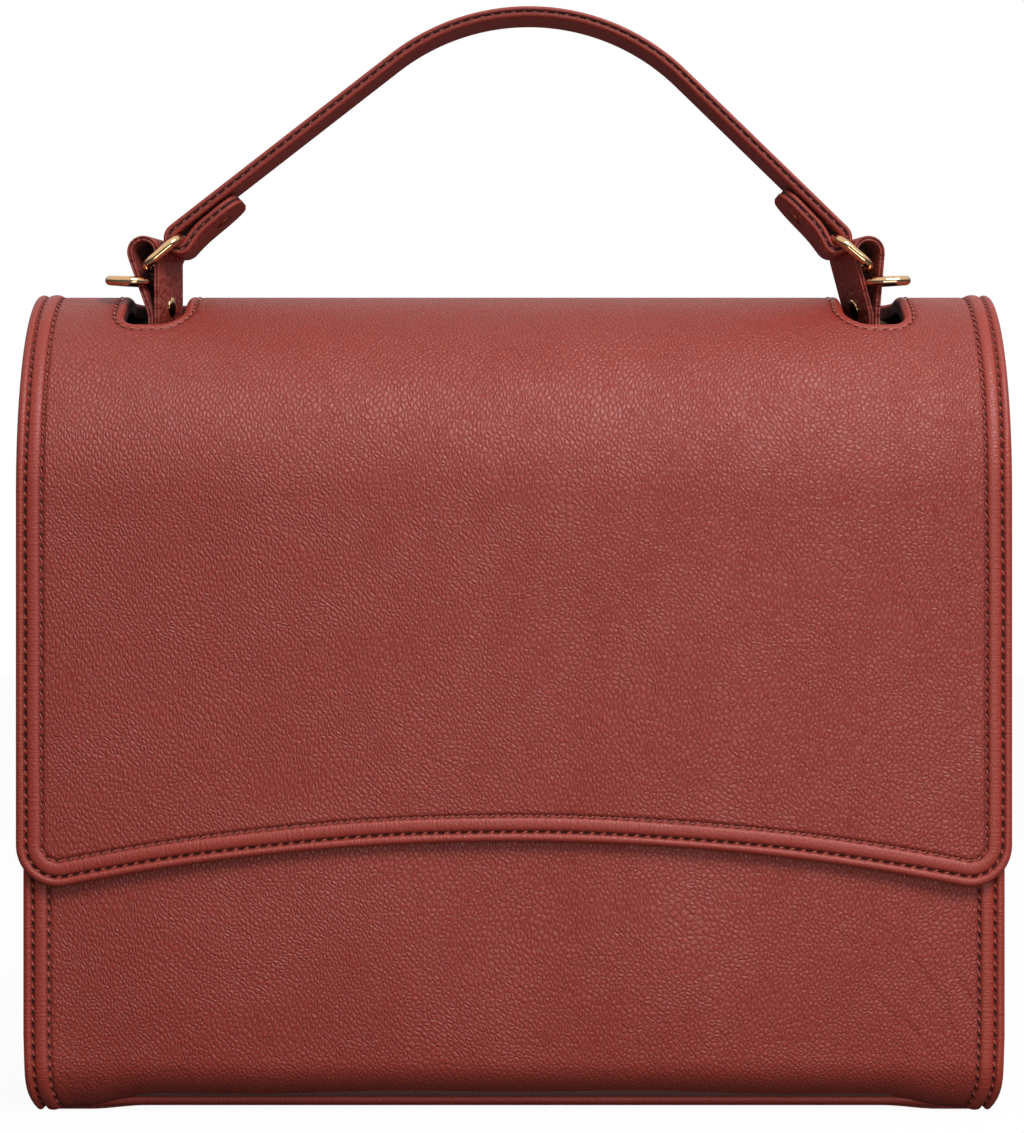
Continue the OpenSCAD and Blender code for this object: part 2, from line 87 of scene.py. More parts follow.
class Slot(Enum):
    """The record's material slots."""

    LEATHER = "leather"
    CLOTH = "lining_cloth"
    BOARD = "board"
    GOLD = "gold_metal"
    STEEL = "anchor_steel"


class Lane(Enum):
    """The third unrolled coordinate of a piece, so that pieces in one finish show other parts of it."""

    MAIN = 0.0
    FACING = 3.0
    POCKET = 15.0
    FLAP_LINING = 40.0
    BORDER = 80.0
    WALL_EDGE = 120.0
    WELT = 160.0
    GUSSET = 200.0
    BINDING = 240.0
    BASE = 260.0
    STRAP_TOP = 300.0
    STRAP_UNDER = 340.0
    LUG = 380.0

    def on(self, side: Side) -> float:
        """The lane of the piece on one side."""
        return self.value + 9 * side.value


@dataclass(frozen=True)
class Finish:
    """A material and the record's slot that it stands for."""

    slot: Slot
    material: Material


Finishes = dict[str, Finish]


# Shader graphs


class Graph:
    """The node tree of one finish, with a method for each kind of node that the finishes share."""

    def __init__(self, tree: bpy.types.NodeTree) -> None:
        """Empties the tree and keeps it."""
        self.tree = tree
        tree.nodes.clear()

    def add(self, kind: str, settings: dict[str, Any], sockets: dict[Any, Any]) -> bpy.types.Node:
        """Adds a node.

        Args:
            kind: the node's type name.
            settings: its own settings, such as operation.
            sockets: values or links by the name or the number of each input.

        Returns:
            The new node.
        """
        node = self.tree.nodes.new(kind)
        for name, value in settings.items():
            setattr(node, name, value)
        for name, value in sockets.items():
            self.feed(node.inputs[name], value)
        return node

    def feed(self, socket: Socket, value: Any) -> None:
        """Links a socket to a signal or another socket, or sets its value."""
        if isinstance(value, Signal):
            self.tree.links.new(value.socket, socket)
        elif isinstance(value, Socket):
            self.tree.links.new(value, socket)
        else:
            socket.default_value = value

    def signal(self, kind: str, settings: dict[str, Any], sockets: dict[Any, Any], out: Any = 0) -> "Signal":
        """Adds a node and returns one of its outputs as a signal."""
        return Signal(self, self.add(kind, settings, sockets).outputs[out])

    def vector(self, operation: str, a: Any, b: Any) -> Socket:
        """A Vector Math node with two operands."""
        return self.add("ShaderNodeVectorMath", {"operation": operation}, {0: a, 1: b}).outputs[0]

    def mix(self, share: Any, low: Any, high: Any) -> Socket:
        """The colour low where share is 0 and high where it is 1."""
        node = self.add("ShaderNodeMix", {"data_type": "RGBA"}, {0: share, 6: low, 7: high})
        return node.outputs[2]

    def noise(self, where: Any, scale: float, detail: float = 2.0, rough: float = 0.5,
              out: Any = 0) -> "Signal":
        """A noise with so many waves to a unit of length."""
        sockets = {"Vector": where, "Scale": scale, "Detail": detail, "Roughness": rough}
        return self.signal("ShaderNodeTexNoise", {}, sockets, out)

    def wave(self, direction: str, sockets: dict[str, Any]) -> "Signal":
        """Even ribs that follow each other in one direction."""
        return self.signal("ShaderNodeTexWave", {"bands_direction": direction}, sockets, 1)

    def bump(self, strength: float, deep: float, height: Any) -> Socket:
        """The surface direction over a relief that is so many millimetres deep."""
        sockets = {"Strength": strength, "Distance": deep * MM, "Height": height}
        return self.add("ShaderNodeBump", {}, sockets).outputs[0]

    def coordinate(self, kind: str) -> Socket:
        """The place on the surface, counted in one of the ways that the node offers."""
        return self.add("ShaderNodeTexCoord", {}, {}).outputs[kind]

    def unrolled(self) -> tuple[Socket, "Signal"]:
        """The two values that a mesh carries: its unrolled place and its mask of painted shade."""
        place = self.add("ShaderNodeAttribute", {"attribute_name": "place"}, {}).outputs["Vector"]
        return place, self.signal("ShaderNodeAttribute", {"attribute_name": "seam"}, {}, "Fac")

    def ray(self, kind: str) -> "Signal":
        """1 for rays of one kind."""
        return self.signal("ShaderNodeLightPath", {}, {}, f"Is {kind} Ray")


class Signal:
    """A number socket that takes part in Python sums, differences, products and powers."""

    def __init__(self, graph: Graph, socket: bpy.types.NodeSocket) -> None:
        """Keeps the socket and the graph that it is in."""
        self.graph = graph
        self.socket = socket

    def _math(self, operation: str, *values: Any, clamp: bool = False) -> "Signal":
        """A Math node on these values."""
        settings = {"operation": operation, "use_clamp": clamp}
        return self.graph.signal("ShaderNodeMath", settings, dict(enumerate(values)))

    def __add__(self, other: Any) -> "Signal":
        """The sum."""
        return self._math("ADD", self, other)

    __radd__ = __add__

    def __sub__(self, other: Any) -> "Signal":
        """The difference."""
        return self._math("SUBTRACT", self, other)

    def __rsub__(self, other: Any) -> "Signal":
        """The difference taken the other way round."""
        return self._math("SUBTRACT", other, self)

    def __mul__(self, other: Any) -> "Signal":
        """The product."""
        return self._math("MULTIPLY", self, other)

    __rmul__ = __mul__

    def __pow__(self, other: float) -> "Signal":
        """The power."""
        return self._math("POWER", self, other)

    def size(self) -> "Signal":
        """The value without its sign."""
        return self._math("ABSOLUTE", self)

    def clamped(self) -> "Signal":
        """The value held between 0 and 1."""
        return self._math("ADD", self, 0.0, clamp=True)

    def eased(self, low: float, high: float) -> "Signal":
        """A smooth step from 0 at low to 1 at high."""
        sockets = {0: self, 1: low, 2: high, 3: 0.0, 4: 1.0}
        return self.graph.signal("ShaderNodeMapRange", {"interpolation_type": "SMOOTHSTEP"}, sockets)


def new_material(name: str) -> tuple[Material, Graph]:
    """An empty node material and its graph."""
    material = bpy.data.materials.new(name)
    material.use_nodes = True
    return material, Graph(material.node_tree)


def close_material(graph: Graph, sockets: dict[str, Any]) -> None:
    """Adds the surface shader with these sockets and the output."""
    shader = graph.add("ShaderNodeBsdfPrincipled", {}, sockets)
    graph.add("ShaderNodeOutputMaterial", {}, {"Surface": shader.outputs[0]})


@dataclass(frozen=True)
class Leather:
    """Dyed leather with pebbles between creases, drawn on the hide's own unrolled millimetres.

    The mesh carries two values: place, the unrolled position, and a mask of painted shade, which is 1 in the
    depth of a groove.
    """

    name: str
    colour: Colour = (0.3, 0.0325, 0.019, 1.0)
    # Colour of the painted shade in the valleys between pebbles.
    crease_shade_colour: Colour = (0.12, 0.0125, 0.008, 1.0)
    # Colour of the painted shade where the mesh's mask marks grooves and hollows.
    groove_colour: Colour = (0.014, 0.003, 0.003, 1.0)
    pebble: float = 1.25
    fine_pebble: float = 0.62
    relief: float = 0.215
    wrinkle: float = 0.0
    roughness: float = 0.4
    specular: float = 0.48

    def build(self) -> Material:
        """Makes the material.

        Pebbles are the insides of a wide and a fine net of jittered lozenges, bent by slow noises. Long
        folds and crests of the skin lie across them in patches, and a fine noise gives the pores. Their
        sum feeds the bump; the valleys are also duller than the crowns, and painted shade darkens them,
        the more so where the relief is deeper.
        """
        material, graph = new_material(self.name)
        place, seam = graph.unrolled()
        bent = self._warp(graph, place, 0.02, 18.0)
        ragged = self._warp(graph, bent, 0.42, 0.7)
        wide = self._net(graph, ragged, (1.0, 0.7), self.pebble)
        fine = self._net(graph, ragged, (0.85, 1.0), self.pebble * self.fine_pebble)
        patches = graph.noise(place, 0.045)
        fold = self._fold(graph, bent, 0.7, 1.0) * patches.eased(0.34, 0.56)
        crest = self._fold(graph, ragged, 0.8, 1.5) + 0.5 * self._fold(graph, ragged, -0.4, 1.7)
        pore = graph.noise(place, 2.2, 2.0, 0.6)
        swell = graph.noise(place, 0.3)
        wave = graph.noise(graph.vector("MULTIPLY", place, (1.25, 0.16, 1.0)), 1.0)
        height = (0.5 + swell) * (0.8 * wide + 0.22 * fine) - 0.25 * fold + 0.13 * crest + 0.1 * pore
        relief = height * self.relief + wave * self.wrinkle
        # Painted shade in the valleys between pebbles and in the folds, stronger where the relief is deeper.
        dark = (0.4 * (1 - wide) + 0.12 * (1 - fine) + 0.1 * fold).clamped() * min(1.0, self.relief / 0.15)
        tone = 0.93 + 0.1 * patches + 0.06 * swell
        shade_darkened = graph.mix(dark, self.colour, self.crease_shade_colour)
        toned = graph.add("ShaderNodeVectorMath", {"operation": "SCALE"}, {0: shade_darkened, 3: tone}).outputs[0]
        rough = self.roughness + 0.14 * (1 - wide) + 0.1 * patches - 0.05
        close_material(graph, {
            # Painted shade where the mesh's mask marks grooves and hollows.
            "Base Color": graph.mix((seam * 0.94).clamped(), toned, self.groove_colour),
            "Roughness": (rough + seam * 0.3).clamped(),
            "Specular IOR Level": self.specular,
            "Normal": graph.bump(1.0, 1.0, relief),
        })
        return material

    @staticmethod
    def _warp(graph: Graph, place: Any, scale: float, reach: float) -> Socket:
        """Shifts places by a noise of so many waves a millimetre, by up to half of reach."""
        colour = graph.noise(place, scale, out="Color")
        shift = graph.vector("MULTIPLY", graph.vector("SUBTRACT", colour, (0.5, 0.5, 0.5)), (reach,) * 3)
        return graph.vector("ADD", place, shift)

    @staticmethod
    def _turned(graph: Graph, place: Any, angle: float) -> Socket:
        """Places turned in the plane of the hide."""
        turn = {"rotation_type": "Z_AXIS"}
        return graph.add("ShaderNodeVectorRotate", turn, {"Vector": place, "Angle": angle}).outputs[0]

    @staticmethod
    def _net(graph: Graph, place: Any, shape: Pair, size: float) -> Signal:
        """The inside of jittered lozenges: 1 on each crown, and falling steeply to 0 in the valleys."""
        pressed = graph.vector("MULTIPLY", place, (shape[0] / size, shape[1] / size, 1.0))
        turned = Leather._turned(graph, pressed, math.pi / 4)
        kind = {"feature": "DISTANCE_TO_EDGE", "voronoi_dimensions": "2D"}
        sockets = {"Vector": turned, "Scale": 1.0, "Randomness": 0.8}
        return (graph.signal("ShaderNodeTexVoronoi", kind, sockets) * 2.6).clamped() ** 0.7

    @staticmethod
    def _fold(graph: Graph, place: Any, angle: float, close: float) -> Signal:
        """Thin long lines that lean by an angle from the length of the hide, so many times as close."""
        thin = graph.vector("MULTIPLY", Leather._turned(graph, place, angle), (0.42, 0.09, 0.4))
        return 1 - (graph.noise(thin, close, 1.0) - 0.5).size().eased(0.0, 0.06)


@dataclass(frozen=True)
class Thread:
    """Twisted sewing thread, a shade lighter than the leather."""

    name: str = "thread"
    colour: Colour = (0.44, 0.11, 0.075, 1.0)
    shade: Colour = (0.22, 0.05, 0.045, 1.0)

    def build(self) -> Material:
        """Fine slanting bands stand for the twist."""
        material, graph = new_material(self.name)
        twist = graph.wave("DIAGONAL", {"Vector": graph.coordinate("Object"), "Scale": 900.0})
        close_material(graph, {
            "Base Color": graph.mix(twist * 0.35, self.colour, self.shade),
            "Roughness": 0.6,
            "Normal": graph.bump(0.6, 0.05, twist),
        })
        return material


@dataclass(frozen=True)
class Metal:
    """Plated or plain metal with faint handling marks."""

    name: str
    colour: Colour
    roughness: float
    smudge_colour: Colour = (0.5, 0.27, 0.12, 1.0)

    def build(self) -> Material:
        """Soft smudges vary the gloss, and hairlines the bump."""
        material, graph = new_material(self.name)
        where = graph.coordinate("Object")
        smudge = graph.noise(where, 180.0, 3.0)
        hair = graph.noise(graph.vector("MULTIPLY", where, (3.0, 0.4, 3.0)), 900.0)
        close_material(graph, {
            "Base Color": graph.mix(smudge * 0.25, self.colour, self.smudge_colour),
            "Metallic": 1.0,
            "Roughness": self.roughness + 0.08 * smudge,
            "Normal": graph.bump(0.25, 0.02, hair),
        })
        return material


@dataclass(frozen=True)
class Cloth:
    """Twill lining, woven on the cloth's own unrolled millimetres."""

    name: str = "lining_twill"
    colour: Colour = (0.24, 0.105, 0.09, 1.0)
    shade: Colour = (0.13, 0.05, 0.045, 1.0)
    # Colour of the painted shade where the mesh's mask marks it.
    groove_colour: Colour = (0.03, 0.012, 0.01, 1.0)
    rib_length: float = 0.314
    thread_step: float = 0.9

    def build(self) -> Material:
        """Two crossing sets of ribs, one of them slanting; rib_length is a rib's length at scale 1."""
        material, graph = new_material(self.name)
        place, seam = graph.unrolled()
        sockets = {"Vector": place, "Scale": self.rib_length / self.thread_step, "Distortion": 0.3}
        weave = graph.wave("DIAGONAL", sockets) * 0.7 + graph.wave("X", sockets) * 0.3
        woven = graph.mix(1 - weave, self.colour, self.shade)
        close_material(graph, {
            # Painted shade where the mesh's mask marks stitch lines and corners.
            "Base Color": graph.mix(seam * 0.7, woven, self.groove_colour),
            "Roughness": 0.85,
            "Normal": graph.bump(0.7, 0.15, weave),
        })
        return material


@dataclass(frozen=True)
class Fibreboard:
    """Pressed board with short fibres."""

    name: str = "fibreboard"
    light: Colour = (0.42, 0.3, 0.19, 1.0)
    dark: Colour = (0.2, 0.13, 0.08, 1.0)
    shine: float = 0.5

    def build(self) -> Material:
        """One drawn out noise gives the fibres, in tone and in relief."""
        material, graph = new_material(self.name)
        where = graph.vector("MULTIPLY", graph.coordinate("Object"), (1.0, 5.0, 1.0))
        fibre = graph.noise(where, 400.0, 4.0)
        close_material(graph, {
            "Base Color": graph.mix(fibre, self.light, self.dark),
            "Roughness": 0.8,
            "Specular IOR Level": self.shine,
            "Normal": graph.bump(0.4, 0.1, fibre),
        })
        return material


# Meshes


@dataclass
class Skin:
    """A mesh in the making, in millimetres, with the values that its finish reads.

    Points are (n, 3), faces (m, 4), place is the unrolled position of each point, and a mask of painted
    shade gives for each point how much shade is painted on it, 1 in the depth of a groove.
    """

    points: Array
    faces: Numbers
    place: Array
    seam: Array
    caps: list[list[int]] = field(default_factory=list)

    def outward(self) -> "Skin":
        """Turns the faces round where the enclosed volume, summed over the faces, is negative."""
        corner = self.points[self.faces] - self.points.mean(0)
        first = np.cross(corner[:, 0], corner[:, 1]) * corner[:, 2]
        second = np.cross(corner[:, 0], corner[:, 2]) * corner[:, 3]
        if first.sum() + second.sum() < 0:
            self.faces = self.faces[:, ::-1]
            self.caps = [cap[::-1] for cap in self.caps]
        return self

    def mirrored(self) -> "Skin":
        """The same mesh on the other side of the bag."""
        flip = np.array([-1.0, 1.0, 1.0])
        return Skin(self.points * flip, self.faces[:, ::-1], self.place * flip, self.seam,
                    [cap[::-1] for cap in self.caps])


def joined(skins: Sequence[Skin]) -> Skin:
    """One mesh that holds several."""
    starts = np.cumsum([0] + [len(s.points) for s in skins])
    return Skin(
        np.concatenate([s.points for s in skins]),
        np.concatenate([s.faces + start for s, start in zip(skins, starts)]),
        np.concatenate([s.place for s in skins]),
        np.concatenate([s.seam for s in skins]),
        [[int(i + start) for i in cap] for s, start in zip(skins, starts) for cap in s.caps],
    )


def grid_faces(rows: int, cols: int, wrap_rows: bool = False, wrap_cols: bool = False) -> Numbers:
    """Faces of a grid whose point in row i and column j has the number i * cols + j."""
    i, j = np.meshgrid(
        np.arange(rows if wrap_rows else rows - 1), np.arange(cols if wrap_cols else cols - 1), indexing="ij"
    )
    i, j = i.ravel(), j.ravel()
    below, right = (i + 1) % rows, (j + 1) % cols
    return np.column_stack([i * cols + j, below * cols + j, below * cols + right, i * cols + right])


def slab(upper: Array, lower: Array, place: Array, seam: Values, faces: Numbers | None = None) -> Skin:
    """A closed sheet between two like sets of points.

    Each edge that only one face uses is a rim, and gets a wall down to the lower side.

    Args:
        upper: points of the visible side, (n, 3) or, as a grid, (rows, cols, 3).
        lower: points of the hidden side, in the same order.
        place: unrolled positions.
        seam: mask of painted shade, 1 in the depth of a groove.
        faces: faces of the visible side, or nothing for all those of the grid.

    Returns:
        The closed mesh, without points that no face uses.
    """
    if faces is None:
        faces = grid_faces(*upper.shape[:2])
    seam = np.broadcast_to(seam, upper.shape[:-1]).ravel()
    upper, lower, place = (values.reshape(-1, 3) for values in (upper, lower, place))
    count = len(upper)
    start = faces.ravel()
    end = np.roll(faces, -1, axis=1).ravel()
    rim = ~np.isin(start * count + end, end * count + start)
    a, b = start[rim], end[rim]
    walls = np.column_stack([b, a, a + count, b + count])
    every = np.concatenate([faces, faces[:, ::-1] + count, walls])
    used, numbered = np.unique(every, return_inverse=True)
    both = [np.concatenate(pair)[used] for pair in ((upper, lower), (place, place), (seam, seam))]
    return Skin(both[0], numbered.reshape(every.shape), both[1], both[2]).outward()


def tube(points: Array, place: Values, seam: Values = 0.0, closed: bool = False) -> Skin:
    """The skin over a run of rings of points.

    Args:
        points: (rings, points to a ring, 3) points.
        place: unrolled positions.
        seam: mask of painted shade, 1 in the depth of a groove.
        closed: whether the last ring joins the first.

    Returns:
        The closed mesh, with a cap at each end of an open run.
    """
    rows, cols = points.shape[:2]
    last = (rows - 1) * cols
    caps = [] if closed else [list(range(cols)), list(range(last + cols - 1, last - 1, -1))]
    faces = grid_faces(rows, cols, wrap_rows=closed, wrap_cols=True)
    place = np.broadcast_to(place, points.shape).reshape(-1, 3)
    seam = np.broadcast_to(seam, (rows, cols)).ravel()
    return Skin(points.reshape(-1, 3), faces, place, seam, caps).outward()


def sweep(path: Array, across: Array, up: Array, profile: Array, place: Values, seam: Values = 0.0,
          closed: bool = False) -> Skin:
    """A closed profile carried along a path: point = path + across * profile x + up * profile y.

    Args:
        path: (n, 3) points.
        across: direction of the profile's first coordinate, (n, 3) or one for all.
        up: direction of the second, (n, 3) or one for all.
        profile: (n, m, 2) or (m, 2) profile points.
        place: unrolled positions.
        seam: mask of painted shade, 1 in the depth of a groove.
        closed: whether the path returns to its start.

    Returns:
        The closed mesh, with a cap at each end of an open path.
    """
    across, up = (np.broadcast_to(way, path.shape)[:, None] for way in (across, up))
    points = path[:, None] + across * profile[..., :1] + up * profile[..., 1:]
    return tube(points, place, seam, closed)


def smooth_loop(points: Array, samples: int) -> Array:
    """A closed Catmull-Rom curve through a few points, as so many samples."""
    where = np.linspace(0.0, len(points), samples, endpoint=False)
    i = np.floor(where).astype(int)
    t = (where - i)[:, None]
    a, b, c, d = (points[(i + k) % len(points)] for k in (-1, 0, 1, 2))
    return 0.5 * (2 * b + (c - a) * t + (2 * a - 5 * b + 4 * c - d) * t**2 + (3 * b - 3 * c + d - a) * t**3)


def walked(points: Array) -> Array:
    """The length walked along a line of points."""
    return np.concatenate([[0.0], np.cumsum(np.linalg.norm(np.diff(points, axis=0), axis=1))])


def read_at(values: Array, length: Array, where: Array) -> Array:
    """Columns of values read at places of a walked length."""
    return np.column_stack([np.interp(where, length, column) for column in values.T])


def resampled(values: Array, length: Array, count: int) -> Array:
    """Columns of values read at count even steps of a walked length."""
    return read_at(values, length, np.linspace(0.0, length[-1], count))


def averaged(values: Array, count: int) -> Array:
    """Means of count neighbours down each column."""
    kernel = np.ones(count) / count
    return np.column_stack([np.convolve(column, kernel, "valid") for column in values.T])


def spread(*values: Values) -> Array:
    """Points from their coordinates, each an array or one value for all."""
    return np.stack(np.broadcast_arrays(*values), axis=-1)


def unit(vectors: Array) -> Array:
    """The same directions with length 1."""
    return vectors / np.linalg.norm(vectors, axis=-1, keepdims=True)


def heading(angle: float) -> Array:
    """The direction (x, y) at an angle in radians."""
    return np.array([math.cos(angle), math.sin(angle)])


def gentle(count: int) -> Array:
    """Shares from 0 to 1 that lie closer together towards both ends."""
    return 0.5 - 0.5 * np.cos(np.linspace(0, math.pi, count))


def smooth_step(share: Values) -> Values:
    """A share between 0 and 1 that starts and ends gently."""
    return share**2 * (3 - 2 * share)


def stations(stretches: Sequence[tuple[float, float, float]]) -> Array:
    """Places along a line, made of stretches given as (from, to, step)."""
    parts = [np.linspace(a, b, max(2, round(abs(b - a) / step) + 1)) for a, b, step in stretches]
    return np.unique(np.concatenate(parts).round(6))


def arc(centre: Sequence[float], radius: float, start: float, end: float, count: int) -> Array:
    """Points of an arc, from a start to an end angle in radians."""
    a = np.linspace(start, end, count)
    return np.column_stack([centre[0] + radius * np.cos(a), centre[1] + radius * np.sin(a)])


def bell(distance: Array, width: float) -> Array:
    """A bell curve, 1 at distance 0."""
    return np.exp(-((distance / width) ** 2))


def strip_profile(flat_half: float, top: float, low: float, edge: Sequence[Pair], samples: int) -> Array:
    """Cross-section of a strip: two level faces at two heights, joined by an edge and its mirror image."""
    level = np.linspace(-1, 1, 9)[1:-1] * flat_half
    control = [(x, top) for x in level] + list(edge) + [(x, low) for x in level[::-1]]
    return smooth_loop(np.array(control + [(-x, z) for x, z in edge[::-1]]), samples)


def make_piece(name: str, skin: Skin, finish: Finish, sharp: float = 50.0) -> bpy.types.Object:
    """Puts a mesh into the scene, in metres.

    Args:
        name: name of the piece.
        skin: the mesh in millimetres.
        finish: its material, with the record's slot.
        sharp: angle in degrees above which an edge stays sharp.

    Returns:
        The new object.
    """
    mesh = bpy.data.meshes.new(name)
    mesh.from_pydata((skin.points * MM).tolist(), [], skin.faces.tolist() + skin.caps)
    place = mesh.attributes.new("place", "FLOAT_VECTOR", "POINT")
    place.data.foreach_set("vector", skin.place.astype(np.float32).ravel())
    # The mask of painted shade, which the finishes read to darken grooves and hollows.
    seam = mesh.attributes.new("seam", "FLOAT", "POINT")
    seam.data.foreach_set("value", skin.seam.astype(np.float32))
    mesh.polygons.foreach_set("use_smooth", np.ones(len(mesh.polygons), bool))
    mesh.set_sharp_from_angle(angle=math.radians(sharp))
    mesh.materials.append(finish.material)
    piece = bpy.data.objects.new(name, mesh)
    bpy.context.scene.collection.objects.link(piece)
    LOG.info("%s: %d faces", name, len(mesh.polygons))
    return piece


# Stitching


@dataclass(frozen=True)
class StitchForm:
    """Size of one stitch, in millimetres, and how far it slants from its row."""

    pitch: float = 3.34
    length: float = 1.75
    width: float = 0.42
    height: float = 0.46
    slant: float = 0.42

    def bead(self) -> tuple[Array, Numbers]:
        """A rounded bead: the surface of a cube, two faces to a side, drawn to a sphere."""
        steps = np.array([-1.0, 0.0, 1.0])
        u, v = (a.ravel() for a in np.meshgrid(steps, steps, indexing="ij"))
        face = grid_faces(3, 3)
        points, faces = [], []
        for axis in range(3):
            for end in (-1.0, 1.0):
                side = np.insert(np.column_stack([u, v]), axis, end, axis=1)
                points.append(side)
                turned = face if end * (-1) ** axis > 0 else face[:, ::-1]
                faces.append(turned + len(side) * len(faces))
        cube, numbered = np.unique(np.concatenate(points), axis=0, return_inverse=True)
        return unit(cube), numbered.ravel()[np.concatenate(faces)]

    def row(self, places: Array, along: Array, up: Array) -> Skin:
        """One bead at each place: place + along * a + across * b + up * c for each bead point (a, b, c)."""
        bead, faces = self.bead()
        across = np.cross(up, along)
        turned = unit(along * math.cos(self.slant) + across * math.sin(self.slant))
        side = np.cross(up, turned)
        local = bead * (np.array([self.length, self.width, self.height]) / 2)
        points = (places[:, None] + turned[:, None] * local[:, :1] + side[:, None] * local[:, 1:2]
                  + up[:, None] * local[:, 2:])
        sample = Skin(points[0], faces, points[0], np.zeros(len(bead))).outward()
        numbers = sample.faces[None] + len(bead) * np.arange(len(places))[:, None, None]
        flat = points.reshape(-1, 3)
        return Skin(flat, numbers.reshape(-1, 4), flat, np.zeros(len(flat)))

    def count(self, length: float) -> int:
        """How many stitches fit a length."""
        return max(1, round(length / self.pitch))

    def pit(self, walk: Array) -> Array:
        """Depth share of the dent between stitches along a row: a smooth wave that is 0 under each bead."""
        count = self.count(walk[-1])
        wave = 0.5 - 0.5 * np.cos(2 * math.pi * walk / walk[-1] * count)
        return np.clip(wave * 1.7 - 0.22, 0.0, 1.0)

    def spots(self, points: Array, along: Array, up: Array) -> Skin:
        """Beads at even steps along a line of points, with directions for each point or one for all."""
        walk = walked(points)
        count = self.count(walk[-1])
        where = np.arange(count) * walk[-1] / count
        along, up = (read_at(np.broadcast_to(way, points.shape), walk, where) for way in (along, up))
        return self.row(read_at(points, walk, where), unit(along), unit(up))


# The leather sheets


@dataclass(frozen=True)
class Trim:
    """Sizes of the rolled edge and of the padded band inside it, with a stitch row along both its sides."""

    roll: float = 2.9
    band: float = 4.8
    rise: float = 0.8
    skin: float = 2.2
    lap: float = 0.65
    dent: float = 0.42
    dent_w: float = 0.42
    thread_depth: float = 0.92
    step: float = 0.62

    @property
    def inner_row(self) -> float:
        """Inset of the inner stitch row."""
        return self.roll + self.band - 0.05

    @property
    def rows(self) -> Pair:
        """Insets of both stitch rows."""
        return self.roll, self.inner_row

    def profile(self, thickness: float, samples: int = 44) -> Array:
        """Cross-section as (inset, depth): groove, padded band, groove, rolled edge, and back underneath."""
        r, b = self.roll, self.roll + self.band
        crest = r + self.band / 2
        points = [
            (b + self.lap, 1.5), (b + 0.25, 1.22), (b - 0.08, 1.16), (b - 0.4, 0.74), (b - 1.0, 0.22),
            (crest, -0.02), (r + 1.0, 0.24), (r + 0.42, 0.72), (r, 1.12), (r - 0.42, 0.66), (r - 1.0, 0.2),
            (r - 1.8, 0.14), (0.34, 0.6), (0.0, thickness / 2), (0.3, thickness - 0.6),
            (1.1, thickness - 0.1), (r - 0.3, thickness), (r + 0.1, self.skin + 0.1), (crest, self.skin),
            (b + 0.5, self.skin),
        ]
        return smooth_loop(np.array(points), samples)

    def dented(self, profile: Array, pits: Sequence[Array], dark_w: float) -> tuple[Array, Array]:
        """The cross-section carried along an edge and dented between the stitches of both rows.

        Args:
            profile: (m, 2) cross-section.
            pits: for each row, the depth share of its dents at n places along the edge.
            dark_w: width of the line of painted shade along a row.

        Returns:
            Depth and mask of painted shade, both (n, m).
        """
        depth = np.repeat(profile[None, :, 1], len(pits[0]), axis=0)
        seam = np.zeros_like(depth)
        top = profile[:, 1] < self.skin - 0.6
        for row, pit in zip(self.rows, pits):
            near, dark = (np.where(top, bell(profile[:, 0] - row, w), 0.0) for w in (self.dent_w, dark_w))
            depth = depth + self.dent * pit[:, None] * near
            # Painted shade along each row, darkest in the dents between stitches.
            seam = np.maximum(seam, dark * (0.22 + 0.78 * pit[:, None]))
        return depth, seam


